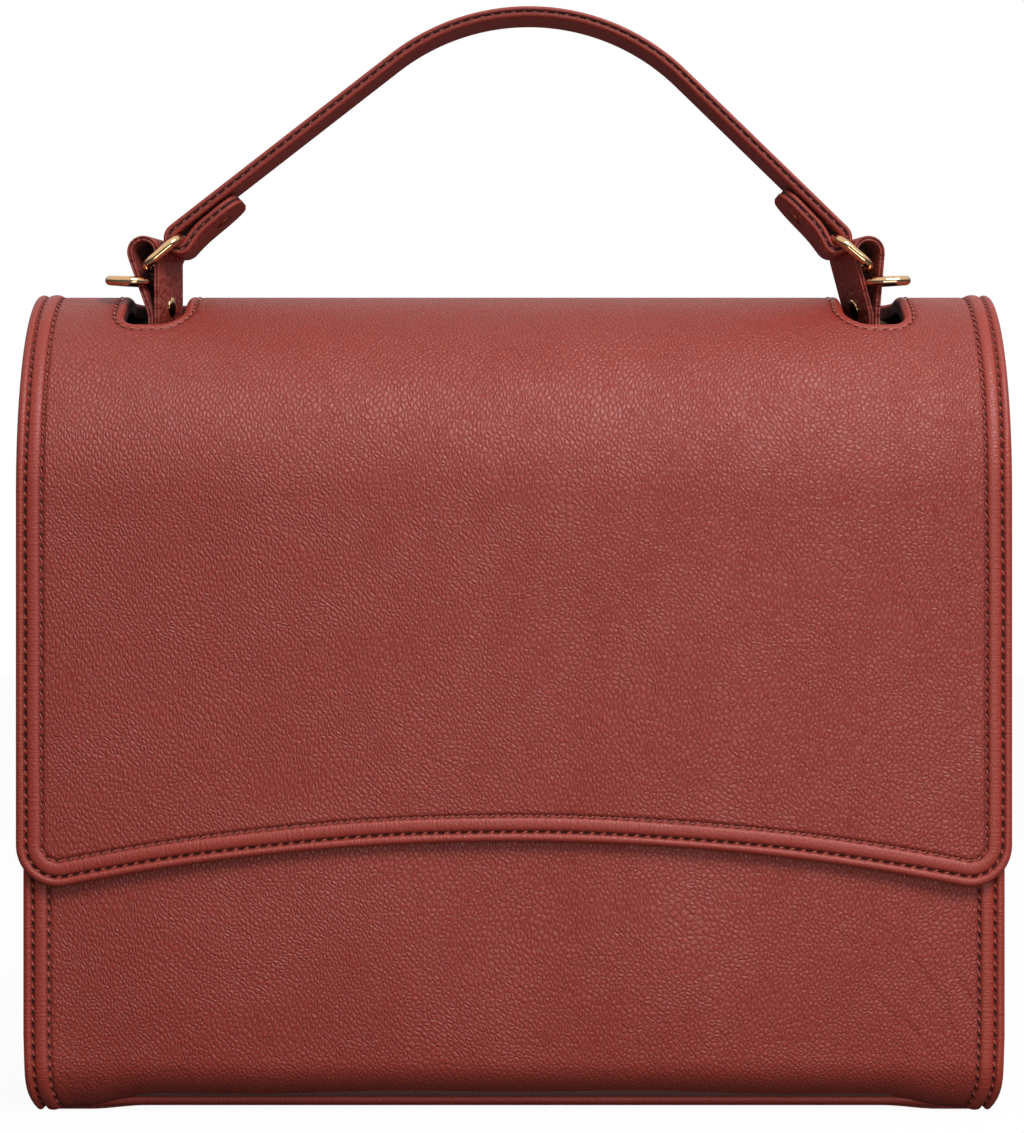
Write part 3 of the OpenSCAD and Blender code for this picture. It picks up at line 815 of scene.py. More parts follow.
@dataclass
class CrownSheet:
    """The leather that covers the crown and hangs as the flap, and its unrolled measure.

    A place on it is (x, s): x across the bag, and s the length walked from the back edge over the crown's
    ellipse and straight down the front. Depth is measured inward from the outer face.
    """

    width: float = 298.0
    half_d: float = 57.0
    ridge_h: float = 250.0
    crown_h: float = 63.6
    hem_h: float = 82.2
    hem_r: float = 685.0
    corner_r: float = 12.5
    flap_t: float = 3.2
    lining_t: float = 1.0

    def __post_init__(self) -> None:
        """Measures the ellipse."""
        self.spring_h = self.ridge_h - self.crown_h
        self.turn = np.linspace(0.0, math.pi, 1441)
        line = np.column_stack([self.half_d * np.cos(self.turn), self.crown_h * np.sin(self.turn)])
        self.walk = walked(line)
        self.crown_l = float(self.walk[-1])

    def to_space(self, x: Values, s: Values, depth: Values) -> Array:
        """Point of the sheet: the ellipse's point at s less depth times its normal, or straight on."""
        t = np.interp(s, self.walk, self.turn)
        down = np.maximum(s - self.crown_l, 0.0) + np.maximum(-s, 0.0)
        ny, nz = self.crown_h * np.cos(t), self.half_d * np.sin(t)
        size = np.hypot(ny, nz)
        y = self.half_d * np.cos(t) - depth * ny / size
        z = self.spring_h + self.crown_h * np.sin(t) - down - depth * nz / size
        return spread(x, y, z)

    def normal(self, s: Values) -> Array:
        """Outward direction at s."""
        t = np.interp(s, self.walk, self.turn)
        return unit(spread(0.0, self.crown_h * np.cos(t), self.half_d * np.sin(t)))

    def s_at_y(self, y: Array) -> Array:
        """Walked length at a distance behind the middle."""
        return np.interp(np.arccos(np.clip(np.asarray(y) / self.half_d, -1, 1)), self.turn, self.walk)

    def s_at_z(self, z: float) -> float:
        """Walked length at a height on the straight front."""
        return self.crown_l + self.spring_h - z

    def corner(self) -> tuple[float, float, float, float]:
        """Centre of a lower corner as (x, s), the s of the hem's centre, and the angle where both meet."""
        arch_z = self.hem_h - self.hem_r
        x = self.width / 2 - self.corner_r
        rise = math.sqrt((self.hem_r + self.corner_r) ** 2 - x**2)
        return x, self.s_at_z(arch_z + rise), self.s_at_z(arch_z), math.atan2(rise, x)

    def outline(self, step: float) -> tuple[Array, Array]:
        """Edge of the sheet and the way into it, from the right back round the hem to the left back."""
        x, s, arch_s, meet = self.corner()
        side = np.array([[self.width / 2, 0.0], [self.width / 2, s]])
        bend = np.linspace(0.0, math.pi - meet, 24)
        sweep_a = np.linspace(meet, math.pi / 2, 60)
        turned = np.column_stack([np.cos(bend), np.sin(bend)])
        lifted = np.column_stack([np.cos(sweep_a), -np.sin(sweep_a)])
        edge = np.concatenate([side, np.array([x, s]) + self.corner_r * turned[1:],
                               np.array([0.0, arch_s]) + self.hem_r * lifted[1:]])
        inward = np.concatenate([np.array([[-1.0, 0.0]] * 2), -turned[1:], lifted[1:]])
        flip = np.array([-1.0, 1.0])
        edge = np.concatenate([edge, edge[-2::-1] * flip])
        inward = np.concatenate([inward, inward[-2::-1] * flip])
        walk = walked(edge)
        count = round(walk[-1] / step)
        return resampled(edge, walk, count), unit(resampled(inward, walk, count))

    def inset(self, x: Array, s: Array) -> Array:
        """Distance from the edge of the sheet into it."""
        corner_x, corner_s, arch_s, _ = self.corner()
        to_side = self.width / 2 - np.abs(x)
        to_hem = np.hypot(x, s - arch_s) - self.hem_r
        near = np.minimum(to_side, to_hem)
        away = np.hypot(np.abs(x) - corner_x, s - corner_s)
        in_corner = (np.abs(x) > corner_x) & (to_hem < self.corner_r) & (s > corner_s - self.corner_r)
        return np.where(in_corner & (s > corner_s), self.corner_r - away, near)


@dataclass
class SlotForm:
    """One of the two slots in the crown: its outline from above, with a wide corner at its inner front."""

    centre: float = 110.9
    width: float = 18.2
    front: float = 30.2
    back: float = 11.0
    wide_r: float = 8.0
    small_r: float = 4.0

    def outline(self, side: Side, count: int) -> tuple[Array, Array]:
        """Points (x, y) and outward directions at even steps round the slot."""
        inner, outer = self.centre - self.width / 2, self.centre + self.width / 2
        s, w = self.small_r, self.wide_r
        corners = [(outer - s, self.back - s, s, 0), (inner + s, self.back - s, s, 1),
                   (inner + w, w - self.front, w, 2), (outer - s, s - self.front, s, 3)]
        points, ways = [], []
        for x, y, radius, quarter in corners:
            a = np.linspace(quarter, quarter + 1, 13) * math.pi / 2
            way = np.column_stack([np.cos(a), np.sin(a)])
            points.append(np.array([x, y]) + radius * way)
            ways.append(way)
        line = np.concatenate(points + [points[0][:1]])
        way = np.concatenate(ways + [ways[0][:1]])
        walk = walked(line)
        even = resampled(np.column_stack([line, way]), walk, count + 1)[:-1]
        even[:, 2:] = unit(even[:, 2:])
        return even[:, :2] * (side.value, 1), even[:, 2:] * (side.value, 1)

    def distance(self, side: Side, x: Array, y: Array) -> tuple[Array, Array]:
        """Signed distance outside the slot, and the direction away from it, for points from above."""
        line, way = self.outline(side, 240)
        gap = spread(x, y)[:, None] - line[None]
        nearest = np.argmin((gap**2).sum(-1), axis=1)
        away = gap[np.arange(len(nearest)), nearest]
        return (away * way[nearest]).sum(-1), way[nearest]


@dataclass
class FlapAndCrown:
    """The sheet over the crown, which is also the flap: panel, border, slot facings, lining and stitches."""

    sheet: CrownSheet
    slots: SlotForm
    trim: Trim
    stitch: StitchForm
    slot_stitch: StitchForm = StitchForm(pitch=3.0, length=1.8, width=0.66, height=0.6, slant=0.16)
    fold_y: float = 38.0
    bend_reach: float = 7.5
    row_out: float = 3.1
    panel_step: float = 1.9
    lining_step: float = 3.4
    slot_step: float = 0.9
    rim_step: float = 0.55
    slot_margin: float = 5.0
    side_rim: float = 4.0
    hem_rim: float = 5.0
    dark_w: float = 0.46
    groove: float = 0.9
    slot_groove: float = 0.7
    groove_w: float = 0.6
    calm_w: float = 14.0
    rim_in: float = 0.8
    slot_zone: float = 25.0

    def fold_ends(self) -> tuple[Vector, Vector]:
        """The two points between which the leather bends as the flap lifts."""
        s = float(self.sheet.s_at_y(-self.fold_y))
        ends = self.sheet.to_space(0.0, s + self.bend_reach * np.array([-1.0, 1.0]), 0.0)
        return Vector(ends[0] * MM), Vector(ends[1] * MM)

    def across(self, half: float, step: float) -> Array:
        """Places across the panel, close together by the slots and the sides."""
        near = self.slots.centre - self.slots.width / 2 - self.slot_margin
        far = self.slots.centre + self.slots.width / 2 + self.slot_margin
        rim = half - self.side_rim
        right = stations([(0.0, near, step), (near, far, self.slot_step), (far, rim, step),
                          (rim, half, self.rim_step)])
        return np.concatenate([-right[:0:-1], right])

    def along(self, x: Array, inset: float, step: float) -> Array:
        """Places along the panel: over the crown in even rows, and down in rows stretched to the hem."""
        sheet, slots = self.sheet, self.slots
        rear = float(sheet.s_at_y(slots.back + self.slot_margin))
        front = float(sheet.s_at_y(-slots.front - self.slot_margin))
        over = stations([(0.0, rear, step), (rear, front, self.slot_step), (front, sheet.crown_l, step)])
        drop = sheet.spring_h - sheet.hem_h - inset
        rim = drop - self.hem_rim
        down = stations([(0.0, rim, step), (rim, drop, self.rim_step)])[1:] / drop
        hem_z = sheet.hem_h - sheet.hem_r + np.sqrt((sheet.hem_r + inset) ** 2 - x**2)
        hanging = sheet.crown_l + down[:, None] * (sheet.spring_h - hem_z)
        return np.concatenate([np.repeat(over[:, None], len(x), 1), hanging], axis=0)

    def panel_grid(self, inset: float, step: float) -> tuple[Array, Array, Numbers]:
        """Places (x, s) of the panel in a grid, fine by the edges and the slots, and its faces.

        Points close to a slot's rim are drawn to it, and faces inside it are left out.
        """
        sheet, slots = self.sheet, self.slots
        x = self.across(sheet.width / 2 - inset, step)
        s = self.along(x, inset, step)
        faces = grid_faces(*s.shape)
        x, s = self.tucked(np.broadcast_to(x, s.shape).ravel(), s.ravel(), inset)
        inside = np.zeros(len(x), bool)
        for side in Side:
            y = sheet.to_space(x, s, 0.0)[:, 1]
            beside = np.abs(x - side.value * slots.centre) < slots.width
            close = beside & (s < sheet.crown_l) & (y < self.slot_zone)
            gap, way = slots.distance(side, x[close], y[close])
            gap = gap - (self.row_out - self.rim_in)
            snap = np.abs(gap) < self.rim_step
            shift = np.where(snap[:, None], -gap[:, None] * way, 0.0)
            x[close] += shift[:, 0]
            s[close] = np.where(snap, sheet.s_at_y(y[close] + shift[:, 1]), s[close])
            inside[close] |= (gap < 0) & ~snap
        return x, s, faces[~inside[faces].any(axis=1)]

    def tucked(self, x: Array, s: Array, inset: float) -> tuple[Array, Array]:
        """The same places, with those past the round of a lower corner drawn in to it."""
        corner_x, corner_s, _, _ = self.sheet.corner()
        over_x, over_s = np.abs(x) - corner_x, s - corner_s
        reach = np.hypot(over_x, over_s)
        past = (over_x > 0) & (over_s > 0) & (reach > self.sheet.corner_r - inset)
        share = np.where(past, (self.sheet.corner_r - inset) / np.maximum(reach, 1e-6), 1.0)
        return (np.where(past, np.sign(x) * (corner_x + over_x * share), x),
                np.where(past, corner_s + over_s * share, s))

    def sag(self, x: Array, s: Array) -> Array:
        """Slow hollows and swells of the hanging leather, in millimetres: a sum of long waves."""
        hanging = np.clip((s - 0.72 * self.sheet.crown_l) / 40, 0, 1)
        return hanging * (0.22 * np.sin(x / 31 + 0.6) * np.sin(s / 37 + 1.1) + 0.15 * np.sin(x / 17 - s / 29)
                          + 0.08 * np.sin(x / 11 + s / 13 + 2.0))

    def slot_gap(self, x: Array, s: Array) -> Array:
        """Distance from the nearer slot."""
        y = self.sheet.to_space(x, s, 0.0)[:, 1]
        gap = np.full(len(x), 1e3)
        close = (np.abs(np.abs(x) - self.slots.centre) < self.slots.width) & (s < self.sheet.crown_l)
        gap[close] = self.slots.distance(Side.RIGHT, np.abs(x[close]), y[close])[0]
        return gap

    def panel(self) -> Skin:
        """The leather panel, sunk in the grooves of the inner stitch row and of the slots' rows."""
        sheet, trim = self.sheet, self.trim
        x, s, faces = self.panel_grid(trim.inner_row - trim.lap, self.panel_step)
        inset = sheet.inset(x, s) - trim.inner_row
        gap = self.slot_gap(x, s) - self.row_out
        edge = np.where(inset > 0, bell(inset, self.groove_w), 1.0)
        rim = np.where(gap > 0, bell(gap, self.groove_w), 1.0)
        calm = 1 - np.exp(-np.maximum(inset, 0.0) / self.calm_w)
        depth = trim.rise + self.groove * edge + self.slot_groove * rim - self.sag(x, s) * calm
        # Painted shade in the grooves of the inner stitch row and of the slots' rows.
        seam = np.maximum(0.8 * np.where(inset > 0, bell(inset, 0.5), 1.0),
                          0.5 * np.where(gap > 0, bell(gap, 0.4), 1.0))
        lower = sheet.to_space(x, s, depth + trim.skin - trim.rise)
        return slab(sheet.to_space(x, s, depth), lower, spread(x, s, Lane.MAIN.value), seam, faces)

    def lining(self) -> Skin:
        """The cloth under the panel."""
        sheet, trim = self.sheet, self.trim
        x, s, faces = self.panel_grid(trim.roll + 0.1, self.lining_step)
        top = sheet.flap_t - sheet.lining_t + 0.02
        upper, lower = sheet.to_space(x, s, top), sheet.to_space(x, s, top + sheet.lining_t)
        # Painted shade along the line of the inner stitch row.
        seam = 0.6 * bell(sheet.inset(x, s) - trim.inner_row, 0.6)
        return slab(upper, lower, spread(x, s, Lane.FLAP_LINING.value), seam, faces)

    def border(self) -> tuple[Skin, Skin]:
        """The rolled edge with its padded band, dented between the stitches of both rows, and the stitches.

        The cross-section is carried along the sheet's outline: place = edge + inward * inset, at its depth.
        """
        sheet, trim = self.sheet, self.trim
        edge, inward = sheet.outline(trim.step)
        walk = walked(edge)
        profile = trim.profile(sheet.flap_t)
        wobble = 0.1 * np.sin(walk / 23) + 0.07 * np.sin(walk / 9.7 + 1)
        inset = profile[None, :, 0] + np.where(profile[:, 0] > 1.2, wobble[:, None], 0.0)
        rows = [edge + inward * (row + wobble)[:, None] for row in trim.rows]
        depth, seam = trim.dented(profile, [self.stitch.pit(walked(row)) for row in rows], self.dark_w)
        x = edge[:, None, 0] + inward[:, None, 0] * inset
        s = edge[:, None, 1] + inward[:, None, 1] * inset
        skin = tube(sheet.to_space(x, s, depth), spread(walk[:, None], inset, Lane.BORDER.value), seam)
        return skin, joined([self.sewn(row, trim.thread_depth, self.stitch) for row in rows])

    def sewn(self, line: Array, depth: float, stitch: StitchForm) -> Skin:
        """Stitches along a line of places on the sheet."""
        points = self.sheet.to_space(line[:, 0], line[:, 1], depth)
        along = unit(np.gradient(points, axis=0))
        return stitch.spots(points, along, self.sheet.normal(line[:, 1]))

    def facing_profile(self) -> Array:
        """Cross-section of a slot's facing as (distance outside the slot, drop below the panel)."""
        rim = self.row_out
        points = [
            (rim + 0.5, 1.5), (rim, 0.95), (rim - 0.42, 0.35), (rim - 1.2, -0.15), (1.0, 0.0), (0.3, 0.5),
            (0.0, 1.3), (0.05, 3.0), (0.05, 4.6), (0.5, 5.0), (1.0, 4.4), (1.05, 2.4), (rim - 0.9, 1.7),
            (rim + 0.5, 1.4),
        ]
        return smooth_loop(np.array(points), 40)

    def facing(self, side: Side) -> tuple[Skin, Skin]:
        """The leather that rolls into a slot and lines it, carried round its outline, and its stitches."""
        sheet, rim = self.sheet, self.row_out
        line, way = self.slots.outline(side, 260)
        profile = self.facing_profile()
        whole = np.concatenate([line, line[:1]])
        pit = self.stitch.pit(walked(whole))[:-1]
        near = np.where(profile[:, 1] < 1.3, bell(profile[:, 0] - rim, 0.4), 0.0)
        drop = profile[None, :, 1] + 0.4 * pit[:, None] * near
        # Painted shade in the dents between stitches and down the slot's inner wall.
        deep = np.where(profile[:, 0] < 1.3, np.clip((profile[:, 1] - 0.5) / 1.3, 0, 1), 0.0)
        seam = np.maximum(near * (0.3 + 0.7 * pit[:, None]), 0.97 * deep)
        plan = line[:, None] + way[:, None] * profile[None, :, :1]
        x, y = plan[..., 0], plan[..., 1]
        share = y / sheet.half_d
        height = sheet.spring_h + sheet.crown_h * np.sqrt(1 - share**2)
        steep = np.hypot(1.0, sheet.crown_h / sheet.half_d * share / np.sqrt(1 - share**2))
        points = spread(x, y, height - (self.trim.rise + drop) * steep)
        skin = tube(points, spread(x, sheet.s_at_y(y) + drop, Lane.FACING.value), seam, closed=True)
        loop = whole + rim * np.concatenate([way, way[:1]])
        sewn = self.sewn(spread(loop[:, 0], sheet.s_at_y(loop[:, 1])), self.trim.rise, self.slot_stitch)
        return skin, sewn

    def build(self, finishes: Finishes) -> None:
        """Makes the pieces."""
        start, end = self.fold_ends()
        border, rows = self.border()
        sides = tuple(f"{side.word}_crown_{kind}" for kind in ("border", "edge") for side in Side)
        edges = ("flap_border", "flap_edge", *sides)
        plan = [
            ("flap_and_crown_panel", self.panel(), "leather", ("flap_panel", "crown_panel")),
            ("flap_and_crown_border", border, "banding", edges),
            ("flap_and_crown_lining", self.lining(), "cloth", ("flap_lining", "crown_lining")),
            ("border_stitches", rows, "thread", ()),
        ]
        for name, skin, finish, nodes in plan:
            piece = make_piece(name, skin, finishes[finish])
            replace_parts(piece, *nodes)
            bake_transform(piece)
        for side in Side:
            facing, seams = self.facing(side)
            piece = make_piece(f"{side.word}_slot_edge", facing, finishes["banding"])
            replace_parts(piece, f"{side.word}_slot_facing")
            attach(piece, "bag")
            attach(make_piece(f"{side.word}_slot_stitches", seams, finishes["thread"]), "bag")


# Body of the bag


@dataclass
class Wall:
    """The front or the back of the body, which drops straight and rolls under.

    A place on it is (x, r): x across, and r the length walked down from its top edge. The profile is the
    straight face and then a circle of the roll's radius, and out is -1 for the front and 1 for the back.
    """

    name: str
    out: int
    face: float
    top: float
    roll_r: float = 16.0
    roll_sweep: float = math.radians(62.0)
    width: float = 294.5
    arch: float = 2.4
    lobe_drop: float = 1.6
    lobe: Pair = (112.0, 128.0)
    corner_in: Pair = (0.7, 2.2)
    belly: float = 1.7
    belly_h: float = 40.0
    belly_spread: float = 45.0
    tuck: float = 1.2
    tuck_h: float = 34.0
    groove: float = 0.85
    groove_w: float = 0.6
    calm_w: float = 10.0
    creased: bool = False
    catch_h: float = 105.0
    catch_flat: float = 14.0
    step: float = 2.4
    side_from: float = 108.0
    side_step: float = 0.75
    low_h: float = 72.0
    low_step: float = 0.9

    @property
    def straight(self) -> float:
        """Length of the straight face."""
        return self.top - self.roll_r

    @property
    def length(self) -> float:
        """Whole length down to the welt."""
        return self.straight + self.roll_r * self.roll_sweep

    def between(self, x: Array) -> Array:
        """1 between the two ends of the base and 0 at them: a smooth step over the lobe's inner part."""
        share = np.clip((self.lobe[1] - np.abs(x)) / (self.lobe[1] - self.lobe[0]), 0, 1)
        return smooth_step(share)

    def lift(self, x: Array, z: Array) -> Array:
        """How far the bottom edge is drawn up between the ends of the base, and lowered at them."""
        middle = self.between(x)
        arch = self.arch * middle * (1 - 0.5 * np.clip(x / self.lobe[0], -1, 1) ** 2)
        return (arch - self.lobe_drop * (1 - middle)) * (1 - np.clip((z - 2) / 20, 0, 1)) ** 2

    def to_space(self, x: Values, r: Array, depth: Values) -> Array:
        """Point of the wall at a depth inside its face."""
        a = np.clip((r - self.straight) / self.roll_r, 0.0, self.roll_sweep)
        reach = self.face - self.roll_r + (self.roll_r - depth) * np.cos(a)
        z = np.where(r < self.straight, self.top - r, self.roll_r - (self.roll_r - depth) * np.sin(a))
        z = z + self.lift(x, z)
        return spread(x, self.out * reach, z)

    def normal(self, r: Array) -> Array:
        """Outward direction at r."""
        a = np.clip((r - self.straight) / self.roll_r, 0.0, self.roll_sweep)
        return spread(0.0, self.out * np.cos(a), -np.sin(a))

    def side_x(self, r: Array) -> Array:
        """Half width at r, drawn in round the bottom corner."""
        z = self.to_space(self.width, r, 0.0)[..., 2]
        slow, quick = self.corner_in
        return self.width / 2 - slow * np.clip(1 - z / 24, 0, 1) - quick * np.clip(1 - z / 12, 0, 1) ** 2.6

    def creases(self, x: Array, z: Array) -> Array:
        """Depth of the creases by the lower right corner: soft lines, each a bell across a bent line."""
        lines = [(129.0, 20.0, 48.0, -0.12, 2.2, 0.42), (126.2, 22.0, 50.0, -0.1, 1.8, 0.3),
                 (118.0, 20.0, 35.0, -0.7, 0.4, 0.26), (122.0, 35.0, 52.0, -0.65, 0.5, 0.26),
                 (112.0, 24.0, 40.0, -0.7, 0.6, 0.22), (135.0, 28.0, 47.0, -0.5, 0.8, 0.26)]
        depth = np.zeros_like(x)
        for at, low, high, lean, bow, deep in lines:
            share = np.clip((2 * z - low - high) / (high - low), -1, 1)
            line = at + lean * share * (high - low) / 2 + bow * share**2 + 0.25 * np.sin(z / 5.3 + at)
            depth += deep * (1 - share**2) * (bell(x - line, 1.0) - 0.5 * bell(x - line - 2.2, 1.5))
        return depth

    def panel(self, trim: Trim) -> Skin:
        """The panel, full in its middle, drawn in along its two stitch rows."""
        limit = self.width / 2 - trim.inner_row + trim.lap
        right = stations([(0.0, self.side_from, self.step), (self.side_from, limit, self.side_step)])
        share = np.concatenate([-right[:0:-1], right]) / limit
        low = self.top - self.low_h
        r = stations([(0.0, low, self.step), (low, self.length, self.low_step)])
        half = self.side_x(r) - trim.inner_row + trim.lap
        x = share[None] * half[:, None]
        r = np.repeat(r[:, None], len(share), axis=1)
        inset = np.maximum(self.side_x(r) - np.abs(x) - trim.inner_row, 0.0)
        z = self.top - r
        round_x = np.cos(np.clip(x / self.width, -0.5, 0.5) * math.pi)
        full = self.belly * round_x * bell(z - self.belly_h, self.belly_spread)
        full = full - self.tuck * np.clip(1 - z / self.tuck_h, 0, 1) ** 1.5
        slow = 0.25 * np.sin(x / 23 + 1.3) * np.sin(r / 31) + 0.15 * np.sin(x / 12 - r / 17)
        calm = 1 - np.exp(-inset / self.calm_w)
        depth = trim.rise + self.groove * bell(inset, self.groove_w) - (full + slow) * calm
        if self.creased:
            depth += self.creases(x, z)
            depth += (full + slow) * np.exp(-(np.hypot(x, z - self.catch_h) / self.catch_flat) ** 4)
        place = spread(x + 300 * self.out, r + 400, Lane.MAIN.value)
        # Painted shade in the groove of the inner row, and towards the bottom end of the wall by the welt.
        seam = 0.8 * bell(inset, 0.5) + 0.8 * np.clip((r - self.length + 1.2) / 1.2, 0, 1)
        lower = self.to_space(x, r, depth + trim.skin - trim.rise)
        return slab(self.to_space(x, r, depth), lower, place, np.clip(seam, 0, 1))

    def edge(self, side: Side, trim: Trim, stitch: StitchForm) -> tuple[Skin, Skin]:
        """The rolled edge and padded band down one side, and their stitches."""
        r = np.linspace(0.0, self.length, round(self.length / trim.step))
        profile = trim.profile(trim.skin)
        x_edge = self.side_x(r)
        depth, seam = trim.dented(profile, [stitch.pit(r)] * 2, trim.dent_w)
        rows = [self.to_space(side.value * (x_edge - row), r, trim.thread_depth) for row in trim.rows]
        sewn = [stitch.spots(row, unit(np.gradient(row, axis=0)), self.normal(r)) for row in rows]
        inset, down = profile[None, :, 0], r[:, None]
        points = self.to_space(side.value * (x_edge[:, None] - inset), down, depth)
        return tube(points, spread(down, inset, Lane.WALL_EDGE.on(side)), seam), joined(sewn)


@dataclass
class Body:
    """The tub of the bag: walls with their edges, gussets, base, welts, lining, pocket and mouth binding."""

    trim: Trim
    stitch: StitchForm
    crown: CrownSheet
    body_w: float = 294.5
    front_face: float = 53.3
    gusset_t: float = 1.6
    base_t: float = 1.6
    board_t: float = 2.0
    welt_r: float = 1.4
    welt_arch: float = 0.6
    welt_end: float = 5.0
    base_arch: float = 1.1
    base_r: float = 2.5
    base_end: float = 5.4
    board_in: float = 9.0
    gusset_sink: float = 3.2
    foot_h: float = 0.4
    gusset_in: float = 0.7
    pleat: float = 1.1
    pleat_w: float = 3.0
    lining_gap: float = 0.3
    lining_play: float = 1.4
    pocket_gap: float = 0.4
    crown_gap: float = 0.3
    pocket: tuple[float, float, float] = (170.0, 100.0, 60.0)
    pocket_t: float = 0.9
    seam_rows: Pair = (2.6, 6.4)

    def __post_init__(self) -> None:
        """Sets out the two walls and the line of the welts."""
        self.front = Wall("front", -1, self.front_face, self.crown.spring_h + 3.0, creased=True)
        self.back = Wall("back", 1, self.crown.half_d, self.crown.spring_h)
        seat = self.front.roll_r - self.trim.rise - (self.trim.skin - self.trim.rise) / 2
        turn = self.front.roll_sweep + math.asin((self.welt_r + 0.1) / seat)
        self.welt_in = self.front.roll_r - seat * math.cos(turn)
        self.welt_h = self.front.roll_r - seat * math.sin(turn)

    def welt(self, wall: Wall) -> Skin:
        """A corded strip under the end of a wall: a circle carried along the arched seam."""
        half = self.body_w / 2 - self.welt_end
        x = np.linspace(-half, half, 260)
        z = self.welt_h + self.welt_arch * wall.between(x)
        a = np.linspace(0, 2 * math.pi, 16, endpoint=False)
        ring = self.welt_r * spread(np.cos(a), np.sin(a))
        place = spread(x[:, None], a * self.welt_r, Lane.WELT.value)
        return sweep(spread(x, wall.out * (wall.face - self.welt_in), z), BACKWARD, UPWARD, ring, place)

    def base_sheet(self, low: float, thickness: float, shrink: float, lane: Lane) -> Skin:
        """A sheet in the base with round corners, drawn up a little between its ends."""
        front = self.welt_in + self.welt_r + 0.1 - self.front_face
        back = self.crown.half_d - self.welt_in - self.welt_r - 0.1
        share, y = np.meshgrid(np.linspace(-1, 1, 90), np.linspace(front, back, 30), indexing="ij")
        near = np.clip(1 - np.minimum(y - front, back - y) / self.base_r, 0, 1)
        x = share * (self.body_w / 2 - self.base_end - shrink - self.base_r * (1 - np.sqrt(1 - near**2)))
        upper = spread(x, y, low + self.base_arch * self.front.between(x))
        return slab(upper, upper + thickness * UPWARD, spread(x, y + 700, lane.value), 0.0)

    def gusset_low(self, y: Array) -> Array:
        """Lower end of a gusset: inside the roll of the walls, and close to the floor between them."""
        r, skin = self.front.roll_r, self.trim.skin
        near = np.clip(np.minimum(y + self.front_face - skin, self.crown.half_d - skin - y), 0, r)
        reach = np.minimum(r - near, r - skin)
        low = np.maximum(r - np.sqrt(np.maximum((r - skin) ** 2 - reach**2, 0.0)), self.base_t)
        roll_end = r - (r - skin) * math.cos(self.front.roll_sweep) + 0.15
        return low + (self.foot_h - low) * np.clip((near - roll_end) / 0.6, 0, 1)

    def gusset(self, side: Side) -> Skin:
        """A side of the bag, sunk in its middle: upright lines from the roll of the walls to the crown."""
        depth = self.crown.flap_t + self.crown_gap
        half_d, crown_h = self.crown.half_d - depth, self.crown.crown_h - depth
        front, back = self.trim.skin - self.front_face, half_d - 0.6
        middle, half = (front + back) / 2, (back - front) / 2
        y = front + (back - front) * gentle(120)
        share = gentle(110)
        low = self.gusset_low(y)
        high = self.crown.spring_h + crown_h * np.sqrt(np.maximum(1 - (y / half_d) ** 2, 0.0))
        z = low[:, None] + (high - low)[:, None] * share[None]
        y = np.repeat(y[:, None], len(share), axis=1)
        upright = np.clip((z - 4) / 60, 0, 1) * np.clip((250 - z) / 70, 0, 1)
        pleat = self.pleat * bell(y - middle, self.pleat_w)
        sunk = (self.gusset_sink * (1 - np.abs((y - middle) / half) ** 2.4) + pleat) * upright
        corner = self.front.side_x(self.front.top - np.maximum(z, 1.0))
        x = np.minimum(corner, self.body_w / 2) - (self.gusset_in + sunk)
        upper = spread(side.value * x, y, z)
        place = spread(y + 900 * side.value, z, Lane.GUSSET.value)
        # Painted shade along the front and back edges, in the corners with the walls.
        seam = 0.7 * np.clip(1 - np.minimum(y - front, back - y) / 2.5, 0, 1)
        return slab(upper, upper - side.value * self.gusset_t * RIGHTWARD, place, seam)

    def tub_lining(self) -> Skin:
        """The bag's lining: a trough from the front over the floor to the back, with a side at each end."""
        out, t = self.trim.skin + self.lining_gap, self.crown.lining_t
        top = self.crown.spring_h - self.lining_gap
        bend = self.front.roll_r - out
        turn = np.linspace(0, math.pi / 2, 12)[1:]
        wall = np.linspace(top, self.front.roll_r, 60)
        rise = np.concatenate([wall, self.front.roll_r - bend * np.sin(turn)])
        inward = np.concatenate([np.zeros(len(wall)), bend * (1 - np.cos(turn))])
        front = spread(inward - self.front_face + out, rise)
        back = spread(self.crown.half_d - out - inward, rise)[::-1]
        line = np.concatenate([front, np.linspace(front[-1], back[0], 24)[1:-1], back])
        walk = walked(line)[:, None]
        way = unit(np.gradient(line, axis=0))
        half = self.body_w / 2 - self.gusset_t - self.gusset_sink - self.lining_play
        x = np.linspace(-half, half, 90)
        thick = t + 0.35 * np.sin(x[None] / 9 + walk / 23) * np.sin(walk / 15)
        y, z = line[:, :1], line[:, 1:]
        inner = spread(x, y - thick * way[:, 1:], z + thick * way[:, :1])
        trough = slab(inner, spread(x, y, z), spread(x, walk, Lane.MAIN.value), 0.0)
        return joined([trough, *(self.lining_side(side, half, out, top) for side in Side)])

    def lining_side(self, side: Side, half: float, out: float, top: float) -> Skin:
        """An end of the lining, slack in its middle."""
        front, back = out - self.front_face + 0.4, self.crown.half_d - out - 0.4
        y = np.linspace(front, back, 40)
        near = np.minimum(y - front, back - y)
        bend = self.front.roll_r - out
        reach = np.maximum(bend - near, 0)
        low = out + self.lining_gap + bend - np.sqrt(np.maximum(bend**2 - reach**2, 0))
        share = np.linspace(0, 1, 60)
        z = low[:, None] + (top - low)[:, None] * share[None]
        y = np.repeat(y[:, None], len(share), axis=1)
        slack = 0.8 * np.sin((y - front) / (back - front) * math.pi) * np.sin(z / 21)
        inner = spread(side.value * (half - self.crown.lining_t + slack * 0.6), y, z)
        outer = inner + side.value * self.crown.lining_t * RIGHTWARD
        # Painted shade along the front and back edges, in the corners.
        seam = 0.5 * np.clip(1 - np.minimum(y - front, back - y) / 3, 0, 1)
        return slab(inner, outer, spread(y + 500 * side.value, z, Lane.MAIN.value), seam)

